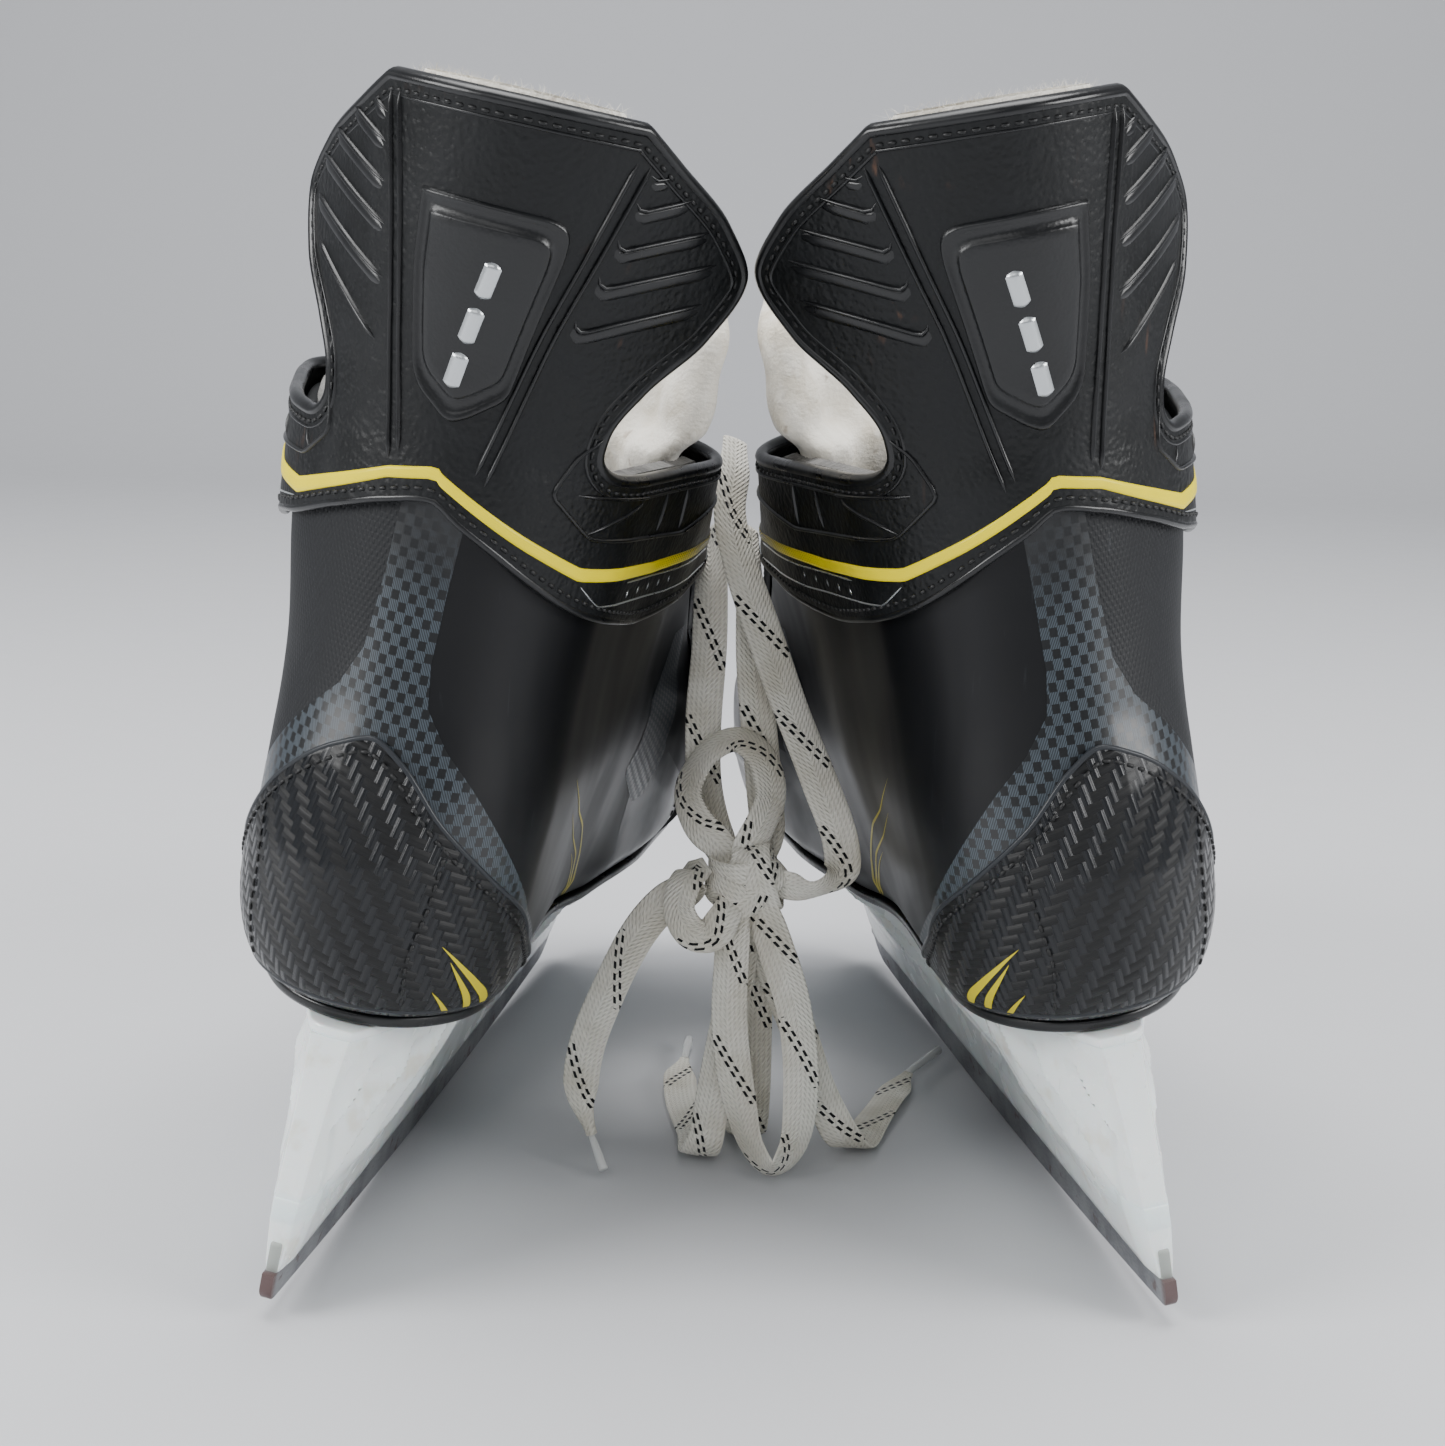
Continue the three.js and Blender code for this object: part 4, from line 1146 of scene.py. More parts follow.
    def lining(self) -> None:
        """The felt behind the guard, a soft pad with matted edges that stand over its rim."""
        pad = Fabrication()
        t = np.linspace(-1, 1, 49)
        z = np.linspace(209, self.top + 0.6, 50)
        a = t[:, None] * (CUFF.half(z) - 2.6)[None]
        b = z[None] + 0 * a
        fuzz = 0.7 * np.sin(a * 1.9 + 0.8 * b) * np.sin(a * 0.63 - 0.4 * b)
        crown = np.sqrt(np.maximum(0, 1 - t**6))[:, None] * np.sqrt(np.maximum(0, 1 - (2 * (z - 209) / 79 - 1) ** 8))
        for sign in (1, -1):
            depth = 7.4 + sign * (0.3 + 2.6 * crown) + fuzz * crown
            points = GUARD.point(a, b, depth)
            pad.grid(points, sign * (GUARD.point(a, b, depth + 1) - points), np.stack([a, b], axis=-1))
        piece = pad.build(f"{self.name}_guard_felt", Kit.felt, self.stance, merge=0.7)
        self.bend(piece, "felt", f"{self.name}_guard_lining")
        self.bend(self.wisps(), "felt")

    def wisps(self, count: int = 900) -> Object:
        """Loose wool fibres standing over the top of the guard and out of its dips."""
        pick = np.random.default_rng(11 if self.stance.side is Side.LEFT else 12)
        cloth = Fabrication()
        along = np.linspace(0, 1, 6)[:, None]
        round_ = np.linspace(0, 2 * np.pi, 3, endpoint=False)
        for _ in range(count):
            kind = pick.random()
            if kind < 0.5:
                place, go = (pick.uniform(-28, 28), self.top - 0.5), (pick.normal(0, 0.9), pick.uniform(0.3, 1.0))
            else:
                side = -1 if kind < 0.78 else 1
                z = pick.uniform(212, 242)
                place, go = (side * (float(CUFF.half(np.array(z))) - 1.5), z), (side * pick.uniform(0.3, 1),
                    pick.normal(0, 0.6))
            way = np.array(go) * pick.uniform(1.2, 3.8 if kind < 0.78 else 2.6)
            curl = pick.normal(0, 0.7, 2)
            path = np.array(place) + along * way + along**2 * curl
            deep = pick.uniform(4.6, 9.4) + along[:, 0] * pick.normal(0, 1.2)
            points = GUARD.point(path[:, 0], path[:, 1], deep)
            radius = 0.075 * (1.1 - along)
            ring = np.stack([np.cos(round_), np.sin(round_), 0 * round_], axis=-1)
            cloth.grid(points[:, None] + ring[None] * radius[..., None], ring[None] + 0 * points[:, None], ring=True)
        return cloth.build(f"{self.name}_felt_wisps", Kit.felt, self.stance)


def boot_line(*points: tuple[float, float], step: float = 1.5, passes: int = 2) -> Array:
    """A path on the boot given by side coordinate u and height z."""
    path = np.array(points, float)
    path[:, 0] *= BOOT_U
    path = resample(round_corners(resample(path, 3.0), passes) if passes else path, step)
    path[:, 0] /= BOOT_U
    return path


BOOT_U = 250.0


def boot_uv(u: Array, z: Array) -> Array:
    """Print coordinates on the boot in millimetres: across from the heel, and up."""
    return np.stack([u * BOOT_U, z + 0 * u], axis=-1)


@dataclass
class Upper:
    """The boot's shell and what is laminated, stitched and printed on it."""

    stance: Stance
    quarter_edge: Rows = ((74, 0.69), (104, 0.69), (118, 0.71), (127, 0.76), (136, 0.84), (146, 0.89), (214, 0.9))
    panel_top: Rows = (
        (-0.34, 78), (-0.27, 92), (-0.204, 106), (-0.111, 127.5), (-0.05, 137.5), (-0.012, 140.8),
        (0.02, 137), (0.076, 124.5), (0.14, 113.5), (0.211, 102.5), (0.26, 91), (0.31, 78),
    )
    band: Rows = (
        (78, -0.33, 0.335), (97, -0.3, 0.262), (119, -0.225, 0.165), (133, -0.155, 0.104), (141, -0.118, 0.066),
        (150, -0.074, 0.036), (160, -0.05, 0.029), (175, -0.043, 0.03), (199, -0.037, 0.036),
    )

    @property
    def name(self) -> str:
        """The side's name."""
        return self.stance.side.value

    @property
    def body(self) -> str:
        """The body that the boot rides on."""
        return f"{self.name}_skate"

    def edge(self, z: Array) -> Array:
        """Front edge of the quarter at height z."""
        return curve([r[0] for r in self.quarter_edge], [r[1] for r in self.quarter_edge], z)

    def patch(self, u: Array, z: Array, lift: float) -> tuple[Array, Array, Array]:
        """Points, outward directions and print coordinates of a patch of the boot."""
        points = BOOT.point(u, z, lift)
        return points, BOOT.point(u, z, lift + 1) - points, boot_uv(u, z)

    def quarter(self) -> Object:
        """The quarter: one shell around the heel, open at the throat."""
        t = np.linspace(-1, 1, 261)
        z = 74.3 + (203 - 74.3) * np.linspace(0, 1, 84)
        u = t[:, None] * self.edge(z)[None]
        cloth = Fabrication()
        cloth.grid(*self.patch(u, z[None] + 0 * u, 0.0))
        obj = thicken(cloth.build(f"{self.name}_quarter", Kit.shell, self.stance), 3.2, 0.5)
        return settle(obj, self.body, "shell", f"{self.name}_quarter_shell")

    def toe_cap(self) -> Object:
        """The moulded toe cap with its rounded crown and a ridge around the bumper."""
        b = np.linspace(0, 1, 60)
        t = np.linspace(-1, 1, 121)
        z = 74.3 + (137 - 74.3) * b
        reach = 1 - self.edge(z) - 0.012
        u = np.sign(t)[:, None] * (1 - np.abs(t)[:, None] * reach[None])
        u[60] = 1.0
        cloth = Fabrication()
        zz = z[None] + 0 * u
        ridge = 0.9 * np.exp(-(((zz - 96) / 2.2) ** 2)) + 0.5 * smooth(zz, 99, 94)
        points = BOOT.point(u, zz, 0.8 + ridge)
        cloth.grid(points, BOOT.point(u, zz, 2.0) - BOOT.point(u, zz, 1.0), boot_uv(u, zz))
        obj = thicken(cloth.build(f"{self.name}_toe", Kit.trim, self.stance), 2.8, 0.5)
        return settle(obj, self.body, "polymer", f"{self.name}_toe_cap")

    def top(self, u: Array) -> Array:
        """Upper edge of the heel panel."""
        return curve([r[0] for r in self.panel_top], [r[1] for r in self.panel_top], u)

    def heel_panel(self) -> None:
        """The woven heel shield with its cut edge, border seam and two upright seams."""
        u = np.linspace(-0.335, 0.305, 110)
        low = 76.5
        b = np.linspace(0, 1, 50)
        z = low + (np.maximum(self.top(u), low + 1) - low)[:, None] * b
        uu = u[:, None] + 0 * z
        cloth = Fabrication()
        points = BOOT.point(uu, z, 1.9)
        uv = boot_uv(uu, z)
        turn = math.radians(12)
        uv = uv @ np.array([[math.cos(turn), math.sin(turn)], [-math.sin(turn), math.cos(turn)]])
        cloth.grid(points, BOOT.point(uu, z, 2.9) - points, uv)
        panel = thicken(cloth.build(f"{self.name}_heel_shield", Kit.carbon, self.stance, merge=0.02), 1.6, 0.3)
        settle(panel, self.body, "carbon", f"{self.name}_heel_panel")
        surface = lambda a, z, d: BOOT.point(a, z, 1.9 + d)
        rim = Lie.on(surface, np.stack([u, np.maximum(self.top(u), low + 1)], axis=-1))
        edge, thread = Fabrication(), Fabrication()
        rim.tube(edge, 0.7, 0.85, 0.5)
        lip = Lie.on(surface, boot_line(*[(k, 78.2) for k in np.linspace(-0.33, 0.3, 24)]))
        lip.tube(edge, 1.0, 0.9, 0.6)
        settle(edge.build(f"{self.name}_heel_edge", Kit.smoke, self.stance), self.body, "carbon")
        rim.inset(3.0).stitches(thread)
        for path in (((0.086, 118), (0.083, 107.5), (0.07, 92), (0.076, 80)),
            ((-0.134, 118), (-0.126, 104), (-0.132, 80))):
            Lie.on(surface, boot_line(*path)).stitches(thread)
        for sign in (1, -1):
            seam = boot_line((sign * 0.672, 80), (sign * 0.672, 104), (sign * 0.695, 116))
            Lie.on(BOOT.point, seam).stitches(thread)
        settle(thread.build(f"{self.name}_heel_stitching", Kit.thread, self.stance), self.body, "carbon")

    def band_print(self) -> None:
        """The printed check band up the heel and the small dark patch beside the throat."""
        z = np.linspace(78, 199, 110)
        rows = np.array(self.band)
        left, right = (np.interp(z, rows[:, 0], rows[:, k]) for k in (1, 2))
        b = np.linspace(0, 1, 80)
        u = left[:, None] * (1 - b) + right[:, None] * b
        zz = z[:, None] + 0 * u
        below = CUFF.bottom(u * BOOT_U * 0.98)
        zz = np.minimum(zz, below + 1.5)
        cloth = Fabrication()
        cloth.grid(*self.patch(u, zz, 0.07))
        settle(cloth.build(f"{self.name}_check_band", Kit.check, self.stance), self.body, "shell")
        cloth = Fabrication()
        for sign in (1, -1):
            zs = np.linspace(100, 152, 40)
            mid = np.interp(zs, (100, 115, 135, 152), (0.545, 0.535, 0.60, 0.70))
            wide = np.interp(zs, (100, 112, 135, 152), (0.012, 0.05, 0.06, 0.03))
            b = np.linspace(-1, 1, 16)
            u = sign * (mid[:, None] + wide[:, None] * b)
            cloth.grid(*self.patch(u, zs[:, None] + 0 * u, 0.07))
        settle(cloth.build(f"{self.name}_side_print", Kit.mesh_print, self.stance), self.body, "shell")

    def stroke(self, cloth: Fabrication, path: Array, width: float, lift: float) -> None:
        """Adds a painted stroke that is pointed at both ends."""
        surface = lambda a, z, d: BOOT.point(a, z, lift + d)
        lie = Lie.on(surface, path)
        t = np.linspace(0, 1, len(path))
        half = width / 2 * np.minimum(1, (t / 0.75)) ** 0.8 * np.minimum(1, (1 - t) / 0.08 + 0.05)
        b = np.array([-1.0, 1.0])
        points = lie.points[:, None] + lie.across[:, None] * (half[:, None] * b)[..., None]
        cloth.grid(points, lie.normals[:, None])

    def marks(self) -> None:
        """Yellow strokes at the heel and on both sides of the quarter, and the grey patch at the throat."""
        ink = Fabrication()
        for sign in (1, -1):
            for path, width in (
                (((0.104, 96.5), (0.15, 88), (0.185, 81), (0.196, 77.6)), 2.3),
                (((0.118, 92.5), (0.148, 84), (0.168, 77.6)), 2.0),
                (((0.106, 84.5), (0.126, 80), (0.138, 77.6)), 1.3),
            ):
                shift = 0.0 if sign > 0 else -0.09
                self.stroke(ink, boot_line(*[(sign * u + shift, z) for u, z in path], step=1.0), width, 2.05)
            for path, width in (
                (((0.292, 130), (0.335, 117), (0.38, 108), (0.43, 92), (0.46, 80), (0.47, 75)), 1.3),
                (((0.31, 119), (0.35, 108), (0.40, 97), (0.455, 80), (0.47, 75)), 1.1),
                (((0.37, 101), (0.40, 94), (0.45, 80), (0.465, 75)), 1.0),
            ):
                self.stroke(ink, boot_line(*[(sign * u, z) for u, z in path], step=1.0), width, 0.09)
        settle(ink.build(f"{self.name}_yellow_strokes", Kit.plain_yellow, self.stance), self.body, "shell")
        film = Fabrication()
        for sign in (1, -1):
            z = np.linspace(76, 110, 24)
            left = np.interp(z, (76, 84, 104, 110), (0.53, 0.525, 0.52, 0.55))
            right = np.interp(z, (76, 92, 110), (0.675, 0.68, 0.60))
            b = np.linspace(0, 1, 20)
            u = sign * (left[:, None] * (1 - b) + right[:, None] * b)
            film.grid(*self.patch(u, z[:, None] + 0 * u, 0.05))
        settle(film.build(f"{self.name}_grey_patch", Kit.smoke, self.stance), self.body, "shell")

    def eyestays(self) -> None:
        """The stitched facings along the throat, each with a row of rolled eyelets."""
        rows = (130, 144, 158, 172, 186, 199)
        for sign, which in ((1, "medial"), (-1, "lateral")):
            z = np.linspace(122, 202.5, 60)
            front = np.minimum(self.edge(z), 0.9) - 0.002
            back = front - np.interp(z, (122, 132, 150, 203), (0.05, 0.09, 0.105, 0.115))
            b = np.linspace(0, 1, 16)
            u = sign * (back[:, None] * (1 - b) + front[:, None] * b)
            cloth = Fabrication()
            cloth.grid(*self.patch(u, z[:, None] + 0 * u, 2.6))
            strip = thicken(cloth.build(f"{self.name}_facing_{which}", Kit.trim, self.stance), 2.2, 0.4)
            settle(strip, self.body, "polymer", f"{self.name}_eyestay_{which}")
            thread, rings = Fabrication(), Fabrication()
            surface = lambda a, z, d: BOOT.point(a, z, 2.6 + d)
            Lie.on(surface, np.stack([sign * (back + 0.012), z], axis=-1)).stitches(thread)
            settle(thread.build(f"{self.name}_facing_seam_{which}", Kit.thread, self.stance), self.body, "polymer")
            for height in rows:
                at = float(min(0.9, self.edge(np.array(height, float)))) - 0.035
                spot = Lie.on(surface, np.array([(sign * at, height), (sign * at, height + 0.5)]))
                ring = np.linspace(0, 2 * np.pi, 16, endpoint=False)[:, None]
                tube = np.linspace(0, 2 * np.pi, 6, endpoint=False)[None]
                across, along, up = spot.across[0], spot.along[0], spot.normals[0]
                spoke = np.cos(ring)[..., None] * across + np.sin(ring)[..., None] * along
                out = spoke * np.cos(tube)[..., None] + up * np.sin(tube)[..., None]
                points = spot.points[0] + spoke * 2.7 + out * 0.7
                rings.grid(np.concatenate([points, points[:1]]), np.concatenate([out, out[:1]]), ring=True)
            settle(rings.build(f"{self.name}_eyelets_{which}", Kit.rivet, self.stance, merge=0.01), self.body, "rivet")

    def inside(self) -> None:
        """The brushed lining with its grey rolled top, and the footbed."""
        t = np.linspace(-1, 1, 141)
        z = np.linspace(79, 206.5, 60)
        u = t[:, None] * (0.835 + 0 * z)[None]
        cloth = Fabrication()
        zz = z[None] + 0 * u
        fuzz = 0.25 * np.sin(u * 190) * np.sin(zz * 0.9) + 1.3 * smooth(zz, 200, 206)
        points = BOOT.point(u, zz, -4.5 + fuzz)
        cloth.grid(points, BOOT.point(u, zz, -3) - BOOT.point(u, zz, -4), boot_uv(u, zz))
        sheet = cloth.build(f"{self.name}_lining", Kit.lining, self.stance)
        obj = smooth_faces(modify(sheet, "SOLIDIFY", thickness=3.2 * MM, offset=-1.0))
        settle(obj, self.body, "lining", f"{self.name}_liner")
        bed = Fabrication()
        s = (np.arange(60) + 0.5) / 60 * 2 - 1
        levels = ((0.4, -13.0), (0.4, -11.5), (4.2, -11.2), (5.0, -12.6))
        shells = [self.footprint(s, inset, lift) for lift, inset in levels]
        scales = [self.shrink(shells[-1], k) for k in (0.85, 0.6, 0.3, 0.02)]
        under = [self.shrink(shells[0], k) for k in (0.02, 0.4, 0.8)]
        stack = np.array(under + shells + scales)
        centre = stack.reshape(-1, 3).mean(axis=0)
        bed.grid(stack, stack - centre, ring=True)
        obj = bed.build(f"{self.name}_insole", Kit.insole, self.stance, merge=0.05)
        settle(obj, self.body, "lining", f"{self.name}_footbed")

    def footprint(self, ring: Array, inset: float, lift: float) -> Array:
        """A closed outline of the foot at a height above the sole's upper face."""
        points = BOOT.point(ring, 79.0, inset)
        points[:, 2] = BOOT.sole(points[:, 0]) + 3.4 + lift
        return points

    def shrink(self, outline: Array, k: float) -> Array:
        """An outline drawn in toward the foot's centre line."""
        middle = np.stack([160 + (outline[:, 0] - 160) * 0.8, 0 * outline[:, 1], outline[:, 2]], axis=-1)
        return middle + (outline - middle) * k

    def build(self) -> None:
        """Builds every piece of the upper."""
        self.quarter()
        self.toe_cap()
        self.heel_panel()
        self.band_print()
        self.marks()
        self.eyestays()
        self.inside()


@dataclass
class Tongue:
    """The padded tongue: thick wool felt under a black facing, folding forward above the throat."""

    stance: Stance
    split: float = 213.0
    foot: float = 134.0

    @property
    def name(self) -> str:
        """The side's name."""
        return self.stance.side.value

    def point(self, t: Array, z: Array, depth: Array) -> Array:
        """Points across (-1 to 1) and up the tongue, depth in from its front."""
        t, z, depth = np.broadcast_arrays(*(np.asarray(v, float) for v in (t, z, depth)))
        turn = np.where(t < 0, -1, 1) * (1 - np.abs(t) * 0.2)
        low = BOOT.point(turn, z, -5.0 - depth)
        rise = np.maximum(z - self.split, -12)
        angle = t * math.radians(76)
        half = 44.5 + 6 * smooth(z, 207, 216) - depth
        nose = 128 + rise * 0.18 - depth
        x = nose - (44 - depth) * (1 - np.cos(angle))
        spread = np.sign(angle) * np.abs(np.sin(angle)) ** 0.62
        high = np.stack([x, half * spread - 1.5, z], axis=-1)
        weight = smooth(z, 197, 209)[..., None]
        return low * (1 - weight) + high * weight

    def shell(self, name: str, finish: Finish, front: float, back: float, top: float, puff: float,
            share: float) -> Object:
        """A closed pad between two depths, crowned by puff and rolled at its edges."""
        t = np.linspace(-share, share, 65)
        b = np.linspace(0, 1, 90)
        edge = top - 16 * np.abs(t) ** 3
        z = self.foot + (edge - self.foot)[:, None] * b
        tt = t[:, None] + 0 * z
        crown = np.sqrt(np.maximum(0, 1 - (tt / share) ** 8)) * np.sqrt(np.maximum(0, 1 - (2 * b - 1) ** 12))[None]
        lump = 0.5 + 0.5 * np.sin(tt * 9 + z * 0.13) * np.sin(z * 0.21 - tt * 5)
        middle, half = (front + back) / 2, (back - front) / 2
        cloth = Fabrication()
        for sign in (-1, 1):
            depth = middle + sign * (0.2 + (half + puff * lump) * crown)
            points = self.point(tt, z, depth)
            out = sign * (self.point(tt, z, depth + 1) - points)
            cloth.grid(points, out, np.stack([tt * 60, z], axis=-1))
        return cloth.build(name, finish, self.stance, merge=0.5)

    def build(self) -> None:
        """Builds the felt and its facing."""
        start, end = self.stance.place(np.array([(128, 0, 206), (128, 0, 228)]))
        pieces = (
            (self.shell(f"{self.name}_tongue_pad", Kit.felt, 2.4, 11.6, 256, 2.2, 1.0), "felt",
                ("tongue_lower", "tongue_felt")),
            (self.shell(f"{self.name}_tongue_front", Kit.trim, 0.0, 2.0, 250, 0.0, 0.6), "polymer", ("tongue_facing",)),
        )
        for piece, slot, nodes in pieces:
            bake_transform(piece)
            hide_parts(*(f"{self.name}_{n}" for n in nodes))
            LOG.info("%s bends with the tongue, %d faces", piece.name, len(piece.data.polygons))


@dataclass
class Chassis:
    """Sole, blade holder, runner and the rivets that hold them together."""

    stance: Stance
    sole_heel: float = 70.0
    sole_ball: float = 68.0
    flange: float = 2.8
    rivets: Sequence[tuple[float, float]] = ((46, 14.6), (90, 19.0), (196, 29), (254, 26.5))
    rear: Sequence[tuple[float, Sequence[tuple[float, float]]]] = (
        (24, ((3, 2.9), (9, 4.4), (34, 6.0), (60, 6.2), (86, 6.0), (115, 5.2))),
        (34, ((5.5, 3.1), (12, 5.4), (36, 8.6), (60, 9.2), (84, 8.2), (112, 5.4))),
        (52, ((10.5, 3.7), (17, 6.0), (38, 12.6), (60, 16), (84, 14.6), (112, 6))),
        (62, ((13.5, 4.3), (20, 6.6), (38, 12.8), (60, 18), (88, 18.0), (118, 8.4))),
        (67.2, ((15, 4.8), (22, 7.2), (38, 13.2), (62, 19.4), (90, 19.4), (120, 9.5))),
    )
    front: Sequence[tuple[float, Sequence[tuple[float, float]]]] = (
        (24, ((168, 5), (180, 5.6), (200, 6.2), (240, 6.2), (262, 5.8), (283.2, 3.4))),
        (34, ((168, 5.2), (180, 7), (200, 9), (240, 9), (262, 7.4), (282, 3.8))),
        (50, ((165, 6), (176, 11), (196, 17.5), (235, 18), (262, 13.5), (283, 5.2))),
        (60, ((162, 9), (174, 18), (194, 27), (235, 27.5), (262, 23), (286, 8.5))),
        (65.2, ((161, 10), (173, 20), (194, 29), (235, 29.5), (264, 25), (288, 10))),
    )

    @property
    def name(self) -> str:
        """The side's name."""
        return self.stance.side.value

    @property
    def body(self) -> str:
        """The body that it rides on."""
        return f"{self.name}_skate"

    def tower(self, into: Fabrication, levels: Sequence, ribs: tuple[float, float]) -> None:
        """Adds one tower: creased flanks with slanting sculpted steps, closed all round."""
        heights = np.array([z for z, _ in levels], float)
        columns = np.linspace(0, 5, 91)
        z = np.linspace(heights[0], heights[-1], 64)
        place = np.array([[np.interp(columns, range(6), [p[k] for p in row]) for row in (r for _,
            r in levels)] for k in (0, 1)])
        x = np.stack([np.interp(z, heights, place[0][:, i]) for i in range(91)])
        half = np.stack([np.interp(z, heights, place[1][:, i]) for i in range(91)])
        start, end = ribs
        slant = x * 0.72 - z[None] * 0.69
        step = np.mod((slant - start) / 12.5, 1.0)
        zone = smooth(x, start + 9, start + 15) * smooth(x, end, end - 14)
        zone = zone * smooth(z[None], 27, 35) * smooth(z[None], 61, 54)
        half = half + zone * (3.4 * step - 1.8)
        zz = z[None] + 0 * x
        for sign in (1, -1):
            into.grid(np.stack([x, sign * half, zz], axis=-1), np.array([0, sign, 0.0]))
        for row, out in ((0, -1), (-1, 1)):
            ends = np.linspace(-1, 1, 7)[:, None] * half[row][None]
            into.grid(np.stack([x[row][None] + 0 * ends, ends, zz[row][None] + 0 * ends], axis=-1),
                np.array([out, 0, 0.0]))
        for row, out in ((0, -1), (-1, 1)):
            ends = np.linspace(-1, 1, 7)[:, None] * half[:, row][None]
            into.grid(np.stack([x[:, row][None] + 0 * ends, ends, zz[:, row][None] + 0 * ends], axis=-1),
                np.array([0, 0, out]))

    def rail(self, into: Fabrication) -> None:
        """Adds the long bar that grips the runner, with a rounded lower lip."""
        rows = (
            (10.8, 3.0, 280, 1.9), (11.4, 2.4, 281, 2.5), (14, 2.3, 282.5, 3.3), (18, 2.5, 283.5, 4.1),
            (24, 3.0, 283.4, 5.1), (29.2, 4, 283, 5.5), (30, 5, 282, 5.0),
        )
        t = np.concatenate([[0, 0.004, 0.012], np.linspace(0.03, 0.97, 90), [0.988, 0.996, 1]])
        nose = np.sqrt(np.minimum(1, np.minimum(t, 1 - t) / 0.03) * 0.7 + 0.3)
        loops = []
        for z, rear, front, half in rows:
            x = rear + (front - rear) * t
            upper = np.stack([x, half * nose, z + 0 * x], axis=-1)
            lower = np.stack([x, -half * nose, z + 0 * x], axis=-1)[::-1]
            loops.append(np.concatenate([upper, lower]))
        flat = [np.concatenate([loop[:96] * (1, 0, 1), loop[96:] * (1, 0, 1)]) for loop in (loops[0], loops[-1])]
        stack = np.array([flat[0]] + loops + [flat[1]])
        centre = np.concatenate([np.stack([t * 280, 0 * t, 19 + 0 * t],
            axis=-1)] * 1 + [np.stack([t[::-1] * 280, 0 * t, 19 + 0 * t], axis=-1)])
        into.grid(stack, stack - centre, ring=True)

    def plate(self, outline: Sequence[tuple[float, float]], top: float) -> Object:
        """A rounded flange plate, extruded and bevelled by hand tools."""
        half = np.array(outline + tuple((x, -y) for x, y in outline[::-1]), float)
        loop = round_corners(np.concatenate([half, half[:1]]), 3)[:-1]
        bpy.ops.mesh.primitive_circle_add(vertices=len(loop), fill_type="NGON", location=(0, 0, 0))
        obj = bpy.context.object
        low = np.column_stack([loop, np.full(len(loop), top - self.flange)])
        obj.data.vertices.foreach_set("co", self.stance.place(low).astype(np.float32).ravel())
        rise = self.stance.axes()[2] * self.flange * MM
        bpy.ops.object.mode_set(mode="EDIT")
        bpy.ops.mesh.select_all(action="SELECT")
        bpy.ops.mesh.extrude_region_move(TRANSFORM_OT_translate={"value": tuple(rise)})
        bpy.ops.mesh.select_all(action="SELECT")
        bpy.ops.mesh.normals_make_consistent(inside=False)
        bpy.ops.object.mode_set(mode="OBJECT")
        return modify(obj, "BEVEL", width=0.7 * MM, segments=2, limit_method="ANGLE", angle_limit=math.radians(60))

    def holder(self) -> None:
        """The moulded holder: two towers on a rail, each under its flange."""
        into = Fabrication()
        self.tower(into, self.rear, (3.0, 96.0))
        self.tower(into, self.front, (128.0, 268.0))
        self.rail(into)
        obj = into.build(f"{self.name}_holder", Kit.nylon, self.stance, merge=0.02)
        plates = [
            self.plate(((15, 5.2), (24, 9), (40, 15.4), (64, 21.4), (94, 22), (125, 12)), self.sole_heel - 0.35),
            self.plate(((158, 15), (174, 26), (194, 32), (230, 33), (262, 29.5), (288, 13)), self.sole_ball - 0.35),
        ]
        bpy.ops.object.select_all(action="DESELECT")
        for piece in (*plates, obj):
            piece.select_set(True)
        bpy.context.view_layer.objects.active = obj
        bpy.ops.object.join()
        modify(obj, "BEVEL", width=0.45 * MM, segments=2, limit_method="ANGLE", angle_limit=math.radians(28))
        smooth_faces(obj, 40)
        Kit.nylon.apply(obj)
        settle(obj, self.body, "holder", f"{self.name}_blade_holder")

    def outsole(self) -> None:
        """The thin sole, its rim rolled and glossy."""
        s = (np.arange(160) + 0.5) / 160 * 2 - 1
        rows = ((-0.6, 0.0), (0.6, 0.25), (1.4, 1.2), (1.5, 2.6), (1.0, 3.3), (-2.0, 3.4))
        loops = []
        for offset, lift in rows:
            points = BOOT.point(s, 73.5, offset)
            points[:, 2] = BOOT.sole(points[:, 0]) + lift
            loops.append(points)
        def shrink(loop: Array, k: float) -> Array:
            """A loop drawn in toward the middle line of the sole."""
            middle = np.stack([20 + (loop[:, 0] - 20) * 0.96 + 5, 0 * loop[:, 1], loop[:, 2]], axis=-1)
            return middle + (loop - middle) * k
        stack = [shrink(loops[0], k) for k in (0.01, 0.35, 0.7)] + loops + [shrink(loops[-1], k) for k in (0.7,
            0.35, 0.01)]
        into = Fabrication()
        out = np.array(stack) - np.array(loops).reshape(-1, 3).mean(axis=0) * (0, 0, 1) - np.array(stack) * (1, 0, 0)
        into.grid(np.array(stack), out, ring=True)
        obj = into.build(f"{self.name}_sole", Kit.trim, self.stance, merge=0.02)
        settle(obj, self.body, "polymer", f"{self.name}_outsole")

